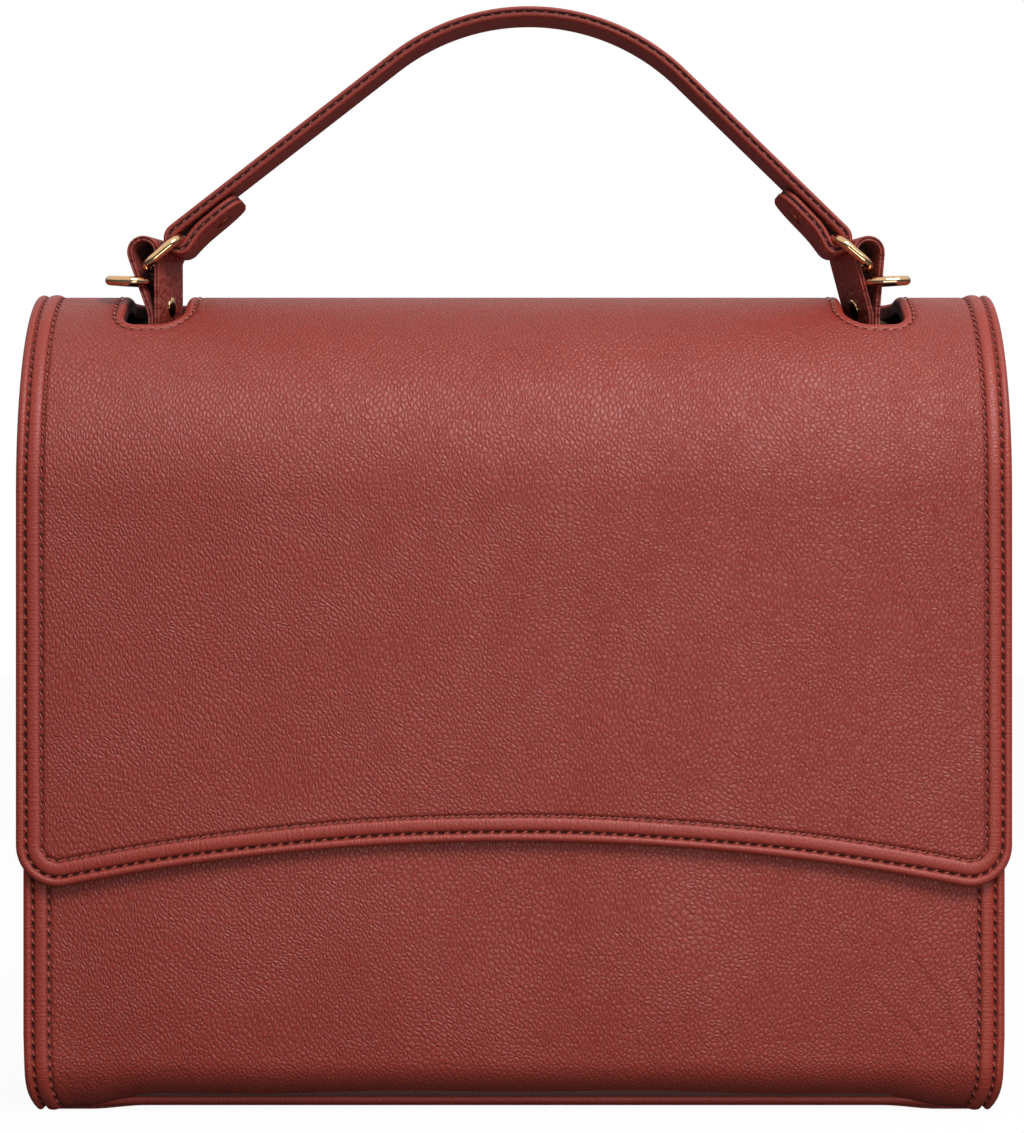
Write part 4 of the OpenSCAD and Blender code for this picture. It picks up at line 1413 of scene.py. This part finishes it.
    def slip_pocket(self) -> Skin:
        """A patch pocket on the back lining, which hangs open a little at its hem."""
        width, height, low = self.pocket
        x, z = np.linspace(-width / 2, width / 2, 80), np.linspace(low, low + height, 50)
        x, z = np.meshgrid(x, z, indexing="ij")
        share = (z - low) / height
        near = np.minimum(width / 2 - np.abs(x), z - low)
        gape = 1.9 * share**2 * (1 - (2 * x / width) ** 2) + 0.8 * np.clip(near / 6, 0, 1)
        hem = 0.35 * (bell(z - low - height + 1, 1.2) + bell(z - low - height + 9, 1.0))
        lining = self.crown.half_d - self.trim.skin - self.lining_gap - self.crown.lining_t
        upper = spread(x, lining - self.pocket_gap - gape - hem, z)
        # Painted shade along the line of the pocket's stitching.
        seam = 0.6 * bell(near - 2.4, 0.7)
        return slab(upper, upper + self.pocket_t * BACKWARD, spread(x, z, Lane.POCKET.value), seam)

    def mouth_binding(self) -> Skin:
        """A folded strip over the top edge of the front panel: a flattened loop carried across."""
        half = self.body_w / 2 - self.trim.roll - self.trim.band
        x = np.linspace(-half, half, 200)
        middle = -(self.front_face - (self.trim.rise + self.trim.skin) / 2)
        control = [(-1.35, -3.4), (-1.45, -1.0), (-0.9, 0.0), (0.0, 0.15), (0.9, 0.0), (1.45, -1.0),
                   (1.35, -3.4), (0.75, -3.5), (0.72, -1.2), (0.0, -0.7), (-0.72, -1.2), (-0.75, -3.5)]
        ring = smooth_loop(np.array(control), 36)
        place = spread(x[:, None], ring[:, 1] + ring[:, 0], Lane.BINDING.value)
        return sweep(spread(x, middle, self.front.top + 0.6), BACKWARD, UPWARD, ring, place)

    def back_seam(self) -> Skin:
        """Two rows of stitches that join the crown's leather to the back panel."""
        half = self.body_w / 2 - self.trim.roll - self.trim.band - 3
        x = np.linspace(-half, half, 300)
        rows = []
        for s in self.seam_rows:
            points = self.crown.to_space(x, s, self.trim.rise - 0.12)
            rows.append(self.stitch.spots(points, RIGHTWARD, self.crown.normal(s)))
        return joined(rows)

    def build(self, finishes: Finishes) -> None:
        """Makes the pieces of the body."""
        leather = self.base_sheet(0.0, self.base_t, 0.0, Lane.BASE)
        board = self.base_sheet(self.base_t, self.board_t, self.board_in, Lane.MAIN)
        plan = [
            ("base_leather", leather, "leather", ("base_panel",)),
            ("base_stiffener", board, "board", ("base_board",)),
            ("tub_lining", self.tub_lining(), "cloth", ("bag_lining",)),
            ("patch_pocket", self.slip_pocket(), "cloth", ("slip_pocket",)),
            ("mouth_strip", self.mouth_binding(), "banding", ("mouth_binding",)),
            ("back_seam_stitches", self.back_seam(), "thread", ()),
        ]
        for wall, welt in ((self.front, "front"), (self.back, "rear")):
            plan.append((f"{wall.name}_leather", wall.panel(self.trim), "leather", (f"{wall.name}_panel",)))
            plan.append((f"{welt}_welt", self.welt(wall), "banding", (f"{welt}_base_welt",)))
            for side in Side:
                name = f"{side.word}_{wall.name}"
                edge, rows = wall.edge(side, self.trim, self.stitch)
                plan.append((f"{name}_edge", edge, "banding", (f"{name}_band", f"{name}_piping")))
                plan.append((f"{name}_stitches", rows, "thread", ()))
        for side in Side:
            nodes = (f"{side.word}_gusset",)
            plan.append((f"{side.word}_side_leather", self.gusset(side), "leather", nodes))
        for name, skin, finish, nodes in plan:
            piece = make_piece(name, skin, finishes[finish])
            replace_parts(piece, *nodes)
            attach(piece, "bag")


# Handle, lugs and rings


@dataclass
class HandleForm:
    """Sizes of the handle, in its own plane: x to the right and z up."""

    strap_w: float = 22.0
    layer_t: float = 1.7
    arch_r: float = 70.0
    arch_rise: float = 72.0
    apex_shift: float = 4.7
    plane_y: float = -8.0
    tail_l: float = 22.0
    tail_closing: float = math.radians(6.0)
    tail_rivet_l: float = 14.0
    wire_r: float = 1.5
    wrap_play: float = 0.2
    slot_x: float = 111.8
    ridge_h: float = 250.0
    loop_bar_rise: float = 7.1
    lean: Pair = (2.3, -1.4)
    loop_out: Pair = (1.0, -0.3)
    loop_up: float = 5.0
    loop_r: float = 5.1
    link_pitch: float = 14.0
    link_tilt: float = math.radians(41.5)
    side_pitch: float = 11.5
    side_drop: float = 3.9
    side_lift: float = math.radians(2.0)
    pinch_h: float = 243.0
    slit_w: float = 0.3
    lug_low: float = 226.0
    stud_h: float = 245.7
    turn: float = 5.4
    turn_from: float = 229.0
    turn_over: float = 13.0

    def loop_bar(self, side: Side) -> Array:
        """Bar of a link ring in its lug, as (x outward, z)."""
        return np.array([self.slot_x + self.lean[side is Side.RIGHT], self.ridge_h + self.loop_bar_rise])

    def link_bar(self, side: Side) -> Array:
        """Bar of a link ring in the strap."""
        away = np.array([-math.cos(self.link_tilt), math.sin(self.link_tilt)])
        return self.loop_bar(side) + self.link_pitch * away

    def side_bar(self, side: Side) -> Array:
        """Bar of a side ring in its lug."""
        return self.loop_bar(side) - [0.0, self.side_drop]

    def lug_centre(self, side: Side) -> Array:
        """Middle of a lug's loop."""
        return self.loop_bar(side) + [self.loop_out[side is Side.RIGHT], self.loop_up]

    def twist(self, y: Array, z: Values) -> Array:
        """How far the lugs' far edges stand nearer the middle of the bag than their near ones."""
        high = smooth_step(np.clip((z - self.turn_from) / self.turn_over, 0, 1))
        return self.turn * high * (y - self.plane_y + self.strap_w / 2) / self.strap_w

    @property
    def wrap_r(self) -> float:
        """Outer radius of the strap round a bar."""
        return self.wire_r + self.wrap_play + 2 * self.layer_t

    @property
    def apex_h(self) -> float:
        """Height of the top of the arch."""
        return float(self.link_bar(Side.RIGHT)[1]) + self.arch_rise

    def flank(self, side: Side) -> float:
        """Angle of a flank below level, where the straight meets both the arch and the wrap, by halving."""
        reach = float(self.link_bar(side)[0]) - side.value * self.apex_shift
        low, high = math.radians(15), math.radians(65)
        for _ in range(40):
            a = (low + high) / 2
            fall = (self.arch_r * (1 - math.cos(a)) + self.wrap_r * math.cos(a)
                    + (reach - (self.arch_r - self.wrap_r) * math.sin(a)) * math.tan(a))
            low, high = (a, high) if fall < self.arch_rise else (low, a)
        return low

    def half_line(self, side: Side, depth: float) -> Array:
        """The strap at a depth below its outer face: arch, straight flank, wrap round the bar, and tail."""
        flank = self.flank(side)
        bar = self.link_bar(side) - [side.value * self.apex_shift, 0.0]
        end = math.pi / 2 - flank
        top = arc((0.0, self.apex_h - self.arch_r), self.arch_r - depth, math.pi / 2, end, 40)
        wrap = arc(bar, self.wrap_r - depth, end, end - math.pi - self.tail_closing, 40)
        tip = wrap[-1] + self.tail_l * heading(math.pi - flank - self.tail_closing)
        line = np.concatenate([top, wrap, tip[None]])
        return line * [side.value, 1.0] + [self.apex_shift, 0.0]

    def strap_line(self, depth: float) -> Array:
        """The whole strap, from the left tail's tip to the right one's."""
        return np.concatenate([self.half_line(Side.LEFT, depth)[:0:-1], self.half_line(Side.RIGHT, depth)])


@dataclass
class Handle:
    """The arched strap of two layers, its stitches and its tail rivets."""

    form: HandleForm
    stitch: StitchForm
    edge_stitch: StitchForm = StitchForm(length=1.6, width=0.42, height=0.5, slant=0.1)
    step: float = 0.8
    row_in: float = 2.4
    under_in: float = 0.12
    near_closing: float = 0.66
    far_opening: float = 1.3
    tip_l: float = 9.0

    def line(self, depth: float) -> tuple[Array, Array, Array, Array]:
        """Points, outward normals, tangents and walked length of the strap at a depth, at even steps."""
        flat = self.form.strap_line(depth)
        walk = walked(flat)
        flat = resampled(flat, walk, round(walk[-1] / self.step))
        way = unit(np.gradient(flat, axis=0))
        way[1:-1] = unit(averaged(way, 3))
        points = spread(flat[:, 0], self.form.plane_y, flat[:, 1])
        return points, spread(-way[:, 1], 0.0, way[:, 0]), spread(way[:, 0], 0.0, way[:, 1]), walked(flat)

    def closing(self, walk: Array, across: Values) -> Array:
        """How far a tail leans towards the strap: its near edge closes on it, and its far edge opens away.

        Args:
            walk: length walked along the strap.
            across: distance behind the strap's middle.

        Returns:
            The shift towards the strap.
        """
        form = self.form
        past = form.tail_l + 3.0 - np.minimum(walk, walk[-1] - walk)
        gap = 2 * (form.wrap_r - 2 * form.layer_t) - np.maximum(past, 0) * math.sin(form.tail_closing)
        start = np.clip(past / 11, 0, 1)
        behind = np.clip(across / form.strap_w + 0.5, 0, 1)
        return (self.near_closing * gap - self.far_opening * behind) * start**2 * (3 - 2 * start)

    def layer(self, top: float, thickness: float, narrower: float, lane: Lane) -> Skin:
        """One layer: a rounded oblong carried along the strap, drawn in to a tongue at each end."""
        points, normal, _, walk = self.line(top + thickness / 2)
        half, t = self.form.strap_w / 2 - narrower, thickness / 2
        edge = [(half - 2.9, t + 0.04), (half - 2.4, t - 0.16), (half - 1.9, t + 0.03), (half - 1.0, t),
                (half - 0.25, t * 0.7), (half, 0.05), (half - 0.3, -t * 0.6), (half - 1.1, -t)]
        profile = strip_profile(half - 3.2, t + 0.05, -t, edge, 76)
        end = np.minimum(walk, walk[-1] - walk)
        taper = np.sqrt(np.clip(1 - (1 - np.clip(end / self.tip_l, 0, 1)) ** 2.4, 0.0, 1.0))
        thin = 0.35 + 0.65 * np.sqrt(np.clip(end / 1.6, 0, 1))
        wide = profile[None, :, 0] * (0.45 + 0.55 * taper[:, None])
        shape = spread(wide, profile[None, :, 1] * thin[:, None] - self.closing(walk[:, None], wide))
        joint = np.sign(profile[:, 1]) == (-1 if top == 0 else 1)
        out = np.abs(profile[:, 0]) - half
        # Painted shade along the stitch rows on the faces, stronger in the joint between the layers at the
        # edge.
        rows = np.maximum(bell(out + self.row_in, 0.3), 1.6 * joint * bell(out + 0.6, 0.6))
        place = spread(wide + 2000, walk[:, None], lane.value)
        return sweep(points, BACKWARD, normal, shape, place, np.clip(0.6 * rows, 0, 1))

    def stitches(self) -> Skin:
        """Rows on both faces of the strap and between the layers along both edges."""
        rows = []
        half = self.form.strap_w / 2
        total = 2 * self.form.layer_t
        for depth, lift in ((0.0, 1.0), (total, -1.0)):
            points, normal, tangent, walk = self.line(depth)
            for across in (self.row_in - half, half - self.row_in):
                lean = self.closing(walk, across)
                line = points + across * BACKWARD - normal * (lift * 0.1 + lean[:, None])
                rows.append(self.stitch.spots(line[8:-8], tangent[8:-8], normal[8:-8] * lift))
        points, normal, tangent, walk = self.line(total / 2)
        for out in (-BACKWARD, BACKWARD):
            lean = self.closing(walk, out[1] * half)
            line = points + out * (half - 0.75) - normal * lean[:, None]
            rows.append(self.edge_stitch.spots(line[9:-9], tangent[9:-9], out))
        return joined(rows)

    def rivet(self, side: Side, finish: Finish) -> bpy.types.Object:
        """The rivet of a tail, square to it, with its shank up to the strap."""
        form = self.form
        flank = form.flank(side)
        way = heading(1.5 * math.pi - flank - form.tail_closing)
        along = heading(math.pi - flank - form.tail_closing)
        gap = 2 * (form.wrap_r - 2 * form.layer_t) - form.tail_rivet_l * math.sin(form.tail_closing)
        reach = form.wrap_r - self.near_closing * gap + self.far_opening / 2
        spot = form.link_bar(side) + reach * way + form.tail_rivet_l * along
        place = spread(side.value * spot[0], form.plane_y, spot[1])
        axis = spread(side.value * way[0], 0.0, way[1])
        return Rivet().build(f"{side.word}_tail_stud", place, axis, finish)

    def build(self, finishes: Finishes) -> None:
        """Makes the strap and what is on it."""
        t = self.form.layer_t
        plan = (("strap_top_layer", 0.0, 0.0, Lane.STRAP_TOP),
                ("strap_under_layer", t, self.under_in, Lane.STRAP_UNDER))
        for name, top, narrower, lane in plan:
            skin = self.layer(top, t, narrower, lane)
            piece = make_piece(name.replace("layer", "leather"), skin, finishes["strap"])
            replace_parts(piece, name)
            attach(piece, "handle")
        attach(make_piece("strap_stitches", self.stitches(), finishes["thread"]), "handle")
        for side in Side:
            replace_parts(self.rivet(side, finishes["lacquer"]), f"{side.word}_tail_rivet")


@dataclass(frozen=True)
class Rivet:
    """A domed rivet with a small collar, turned about its axis."""

    head_r: float = 3.1
    head_t: float = 1.0
    collar_t: float = 0.25
    shank_r: float = 1.2
    shank_l: float = 3.0
    body: str = "handle"

    def build(self, name: str, place: Array, axis: Array, finish: Finish) -> bpy.types.Object:
        """Turns the outline (radius, height) round the axis at a place on the leather's face."""
        a = np.linspace(0, math.pi / 2, 8)[1:]
        dome_t = self.head_t - self.collar_t
        dome = [(self.head_r * math.sin(v), self.collar_t + dome_t * math.cos(v)) for v in a]
        outline = np.array(dome + [(self.head_r, 0.02), (self.shank_r, 0.0), (self.shank_r, -self.shank_l)])
        side = unit(np.cross(axis, BACKWARD))
        other = np.cross(axis, side)
        turn = np.linspace(0, 2 * math.pi, 40, endpoint=False)[:, None]
        ring = side * np.cos(turn) + other * np.sin(turn)
        points = place + outline[:, None, :1] * ring + outline[:, None, 1:] * axis
        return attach(make_piece(name, tube(points, points), finish, sharp=60), self.body)


@dataclass
class Lug:
    """A strip of leather folded to a loop round the two rings, whose legs drop through the slot."""

    form: HandleForm
    side: Side
    step: float = 0.55

    def tangent(self, radius: float, half: float) -> tuple[float, float]:
        """Angles at the loop's centre: where the pinch lies, and how far off it a leg meets the loop."""
        reach = self.foot() - self.form.lug_centre(self.side)
        return math.atan2(reach[1], reach[0]), math.acos((radius - half) / np.linalg.norm(reach))

    def foot(self) -> Array:
        """Place where the legs are pinched together."""
        return np.array([self.form.slot_x, self.form.pinch_h])

    def line(self) -> Array:
        """Middle of the strip as (x outward, z): a leg, a straight tangent, the loop, and back down."""
        form = self.form
        radius = form.loop_r - form.layer_t / 2
        half = form.slit_w / 2 + form.layer_t / 2
        down, k = self.tangent(radius, half)
        loop = arc(form.lug_centre(self.side), radius, down + k, down + 2 * math.pi - k, 70)
        legs = [self.foot() + half * heading(down + e) for e in (k, -k)]
        feet = [np.array([form.slot_x + e * half, form.lug_low]) for e in (1, -1)]
        return np.concatenate([[feet[0]], [legs[0]], loop, [legs[1]], [feet[1]]])

    def skin(self) -> Skin:
        """The strip: a flat oblong with a groove along each edge, carried along its middle.

        The far edge stands a little nearer the middle of the bag than the near one, so the loop shows its
        inner face to the front.
        """
        form, out = self.form, self.side.value
        flat = self.line()
        walk = walked(flat)
        flat = resampled(flat, walk, round(walk[-1] / self.step))
        flat[2:-2] = averaged(flat, 5)
        walk = walked(flat)
        way = unit(np.gradient(flat, axis=0))
        points = spread(out * flat[:, 0], form.plane_y, flat[:, 1])
        normal = spread(out * way[:, 1], 0.0, -way[:, 0])
        half, t = form.strap_w / 2, form.layer_t / 2
        edge = [(half - 1.8, t), (half - 1.2, t - 0.08), (half - 0.6, t), (half - 0.05, t * 0.75),
                (half, t * 0.42), (half - 0.3, 0.06), (half - 0.3, -0.06), (half, -t * 0.42),
                (half - 0.05, -t * 0.75), (half - 0.6, -t)]
        profile = strip_profile(half - 2.2, t, -t, edge, 72)
        # Painted shade in the grooves along the edges.
        groove = bell(np.abs(profile[:, 0]) - half + 0.25, 0.16) * bell(profile[:, 1], 0.25)
        centre = form.lug_centre(self.side)
        top = len(flat) // 2
        to_centre = spread(out * centre[0], form.plane_y, centre[1]) - points[top]
        # The loop's inner face is painted darker: the flesh side's own darker tone, and painted shade that
        # grows towards the back.
        inner = profile[:, 1] * np.sign(to_centre @ normal[top]) > 0.5 * t
        shade = np.where(inner, 0.25 + 0.5 * np.clip((profile[:, 0] + half) / 9, 0, 1), 0.0)
        place = spread(profile[:, 0] + 2600, walk[:, None], Lane.LUG.on(self.side))
        skin = sweep(points, BACKWARD, normal, profile, place, np.maximum(groove, shade))
        skin.points[:, 0] -= out * form.twist(skin.points[:, 1], skin.points[:, 2])
        return skin

    def stud(self, finish: Finish) -> bpy.types.Object:
        """The rivet on the straight stretch that faces the middle of the bag."""
        form, out = self.form, self.side.value
        centre, foot = form.lug_centre(self.side), self.foot()
        half = form.slit_w / 2 + form.layer_t
        down, k = self.tangent(form.loop_r, half)
        way = heading(down - k)
        share = (centre[1] - form.stud_h) / (centre[1] - foot[1])
        spot = centre * (1 - share) + foot * share + (form.loop_r * (1 - share) + half * share) * way
        shift = float(form.twist(np.array(form.plane_y), np.array(spot[1])))
        place = spread(out * (spot[0] - shift), form.plane_y, spot[1])
        axis = unit(spread(out * way[0], -2 * shift / form.strap_w, way[1]))
        return Rivet(shank_l=form.layer_t + 0.4).build(f"{self.side.word}_lug_stud", place, axis, finish)

    def build(self, finishes: Finishes) -> None:
        """Makes the lug and its rivet."""
        piece = make_piece(f"{self.side.word}_lug_leather", self.skin(), finishes["lug"])
        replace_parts(piece, f"{self.side.word}_lug")
        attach(piece, "handle")
        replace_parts(self.stud(finishes["gold"]), f"{self.side.word}_lug_rivet")


@dataclass
class WireRing:
    """A ring of round wire with two long and two short bars and round corners."""

    form: HandleForm
    length: float = 27.0
    corner_r: float = 4.4
    follow: float = 0.7
    far_rise: float = 0.061
    rise_lead: float = 4.0
    count: int = 160

    def skin(self, side: Side, bar: Array, tilt: float, pitch: float) -> Skin:
        """A circle carried round the rounded oblong, tilted about its long bar."""
        px, py = pitch / 2 - self.corner_r, self.length / 2 - self.corner_r
        centres = [(px, py), (-px, py), (-px, -py), (px, -py)]
        right = math.pi / 2
        parts = [arc(c, self.corner_r, i * right, (i + 1) * right, 16) for i, c in enumerate(centres)]
        line = np.concatenate(parts + [parts[0][:1]])
        line = resampled(line, walked(line), self.count + 1)[:-1]
        way = unit(np.roll(line, -1, axis=0) - np.roll(line, 1, axis=0))
        x_way = np.array([math.cos(tilt), 0.0, -math.sin(tilt)])
        z_way = np.array([math.sin(tilt), 0.0, math.cos(tilt)])
        start = spread(bar[0], self.form.plane_y, bar[1])
        points = (line[:, :1] + pitch / 2) * x_way + line[:, 1:] * BACKWARD + start
        out = way[:, 1:] * x_way - way[:, :1] * BACKWARD
        a = np.linspace(0, 2 * math.pi, 28, endpoint=False)
        circle = self.form.wire_r * spread(np.cos(a), np.sin(a))
        held = self.follow if tilt < 0 else np.clip((line[:, 0] + pitch / 2) / pitch, 0, 1)
        points[:, 0] -= held * self.form.twist(points[:, 1], self.form.turn_from + self.form.turn_over)
        points[:, 2] += self.far_rise * (tilt < 0) * (points[:, 1] - self.form.plane_y + self.rise_lead)
        skin = sweep(points, out, z_way, circle, 0.0, closed=True)
        return skin if side is Side.RIGHT else skin.mirrored()

    def build(self, finishes: Finishes) -> None:
        """Makes the four rings."""
        form = self.form
        for side in Side:
            plan = [("link", form.link_bar(side), form.link_tilt, form.link_pitch),
                    ("side", form.side_bar(side), -form.side_lift, form.side_pitch)]
            for kind, bar, tilt, pitch in plan:
                node = f"{side.word}_{kind}_ring"
                skin = self.skin(side, bar, tilt, pitch)
                piece = make_piece(f"{side.word}_{kind}_wire", skin, finishes["gold"])
                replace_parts(piece, node)
                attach(piece, node)


# Studio


@dataclass(frozen=True)
class Studio:
    """Floor, light and camera."""

    camera_place: tuple[float, float, float] = (-0.0006, -1.057, 0.1645)
    lens: float = 106.4
    floor_shade: Colour = (0.14, 0.14, 0.14, 1.0)
    floor_seen: Colour = (0.9, 0.9, 0.9, 1.0)
    sky_low: Colour = (0.06, 0.055, 0.05, 1.0)
    sky_high: Colour = (0.52, 0.52, 0.53, 1.0)
    sheen_low: Colour = (0.05, 0.045, 0.045, 1.0)
    sheen_high: Colour = (0.9, 0.9, 0.9, 1.0)

    def floor(self) -> None:
        """A wide white floor that keeps a faint shadow."""
        bpy.ops.mesh.primitive_plane_add(size=8.0, location=(0.0, 0.0, -0.0002))
        floor = bpy.context.active_object
        floor.name = "floor"
        material, graph = new_material("white_floor")
        shade = graph.mix(graph.ray("Camera"), self.floor_shade, self.floor_seen)
        lit = graph.add("ShaderNodeBsdfDiffuse", {}, {"Color": shade})
        glow = graph.add("ShaderNodeEmission", {}, {"Color": WHITE, "Strength": 1.0})
        sockets = {0: graph.ray("Camera") * 0.95, 1: lit.outputs[0], 2: glow.outputs[0]}
        both = graph.add("ShaderNodeMixShader", {}, sockets)
        graph.add("ShaderNodeOutputMaterial", {}, {"Surface": both.outputs[0]})
        floor.data.materials.append(material)

    def world(self) -> None:
        """Soft light from all round, brighter from above and the right, and white to the camera."""
        world = bpy.data.worlds.new("studio")
        bpy.context.scene.world = world
        world.use_nodes = True
        graph = Graph(world.node_tree)
        parts = graph.add("ShaderNodeSeparateXYZ", {}, {0: graph.coordinate("Generated")})
        up = Signal(graph, parts.outputs["Z"])
        side = Signal(graph, parts.outputs["X"])
        soft = graph.mix((up + 0.3 * side).eased(-0.3, 0.9), self.sky_low, self.sky_high)
        sheen = graph.mix(up.eased(0.0, 0.6), self.sheen_low, self.sheen_high)
        glossy = graph.mix(graph.ray("Glossy"), soft, sheen)
        clear = (graph.ray("Camera") + graph.ray("Transmission")).clamped()
        colour = graph.mix(clear, glossy, WHITE)
        light = graph.add("ShaderNodeBackground", {}, {"Color": colour, "Strength": 1.0})
        graph.add("ShaderNodeOutputWorld", {}, {"Surface": light.outputs[0]})

    @staticmethod
    def lamp(name: str, place: Sequence[float], aim: Sequence[float], size: float, power: float) -> None:
        """A square soft lamp turned towards a point."""
        data = bpy.data.lights.new(name, "AREA")
        data.size = size
        data.energy = power
        lamp = bpy.data.objects.new(name, data)
        lamp.location = place
        lamp.visible_camera = False
        lamp.rotation_euler = (Vector(aim) - Vector(place)).to_track_quat("-Z", "Y").to_euler()
        bpy.context.scene.collection.objects.link(lamp)

    def camera(self) -> None:
        """A level camera in front of the bag, at the height of its flap."""
        data = bpy.data.cameras.new("camera")
        data.lens = self.lens
        data.sensor_width = 36.0
        camera = bpy.data.objects.new("camera", data)
        camera.location = self.camera_place
        camera.rotation_euler = (math.pi / 2, 0.0, 0.0)
        bpy.context.scene.collection.objects.link(camera)
        bpy.context.scene.camera = camera

    def build(self) -> None:
        """Sets up the studio."""
        self.camera()
        self.floor()
        self.world()
        self.lamp("key", (0.46, -1.0, 1.25), (0.03, -0.03, 0.2), 0.6, 20.0)
        self.lamp("fill", (-0.8, -1.1, 0.85), (0.0, -0.03, 0.18), 1.0, 0.35)
        self.lamp("low", (0.11, -0.5, 0.09), (0.05, -0.05, 0.07), 0.25, 0.66)
        bpy.context.scene.view_settings.view_transform = "Standard"


def corners(box: tuple[Vector, Vector]) -> list[list[float]]:
    """A box as plain lists."""
    return [list(box[0]), list(box[1])]


def dress_frame_nodes(frame: dict[str, Any], finishes: Finishes) -> None:
    """Gives the rigid frame pieces that stay in view their finishes."""
    kinds = ("handle_anchor", "anchor_rivets", "lug_pin")
    steel = tuple(f"{side.word}_{kind}" for kind in kinds for side in Side)
    # The crown board and the anchor steel seen in the slots get finishes painted nearly black, as painted
    # shade in the slots.
    plan = {"shade_darkened_board": ("crown_board",), "gold": ("catch_socket", "catch_magnet"), "steel": steel}
    for finish, nodes in plan.items():
        for name in nodes:
            mesh = frame["nodes"][name].data
            mesh.materials.clear()
            mesh.materials.append(finishes[finish].material)


def all_finishes() -> Finishes:
    """Makes every finish of the bag."""
    band = Leather("banding_leather", pebble=1.2, relief=0.06, wrinkle=0.22, roughness=0.42)
    strap = Leather("strap_leather", pebble=1.3, relief=0.07, wrinkle=0.03, roughness=0.48)
    # Board painted nearly black, as painted shade in the slots.
    shade_darkened = Fibreboard("shade_darkened_fibreboard", (0.03, 0.008, 0.006, 1.0), (0.015, 0.005, 0.004, 1.0), 0.02)
    plan = {
        "leather": (Slot.LEATHER, Leather("pebbled_leather")),
        "banding": (Slot.LEATHER, band),
        "strap": (Slot.LEATHER, strap),
        "thread": (Slot.LEATHER, Thread()),
        "cloth": (Slot.CLOTH, Cloth()),
        "board": (Slot.BOARD, Fibreboard()),
        "shade_darkened_board": (Slot.BOARD, shade_darkened),
        "lug": (Slot.LEATHER, Leather("lug_leather", pebble=3.0, relief=0.45, roughness=0.46)),
        "gold": (Slot.GOLD, Metal("pale_gold", (0.82, 0.51, 0.28, 1.0), 0.06)),
        "lacquer": (Slot.GOLD, Metal("red_lacquer", (0.28, 0.05, 0.035, 1.0), 0.4)),
        # Steel painted nearly black, as painted shade in the slots.
        "steel": (Slot.STEEL, Metal("shade_darkened_steel", (0.03, 0.028, 0.028, 1.0), 0.55)),
    }
    return {name: Finish(slot, recipe.build()) for name, (slot, recipe) in plan.items()}


def main() -> None:
    """Builds the bag round the frame, piece by piece."""
    logging.basicConfig(level=logging.INFO, format="%(name)s %(message)s")
    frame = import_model()
    Studio().build()
    finishes = all_finishes()
    dress_frame_nodes(frame, finishes)
    trim, stitch, crown, form = Trim(), StitchForm(), CrownSheet(), HandleForm()
    FlapAndCrown(crown, SlotForm(), trim, stitch).build(finishes)
    Body(trim, stitch, crown).build(finishes)
    Handle(form, stitch).build(finishes)
    for side in Side:
        Lug(form, side).build(finishes)
    WireRing(form).build(finishes)


if __name__ == "__main__":
    main()
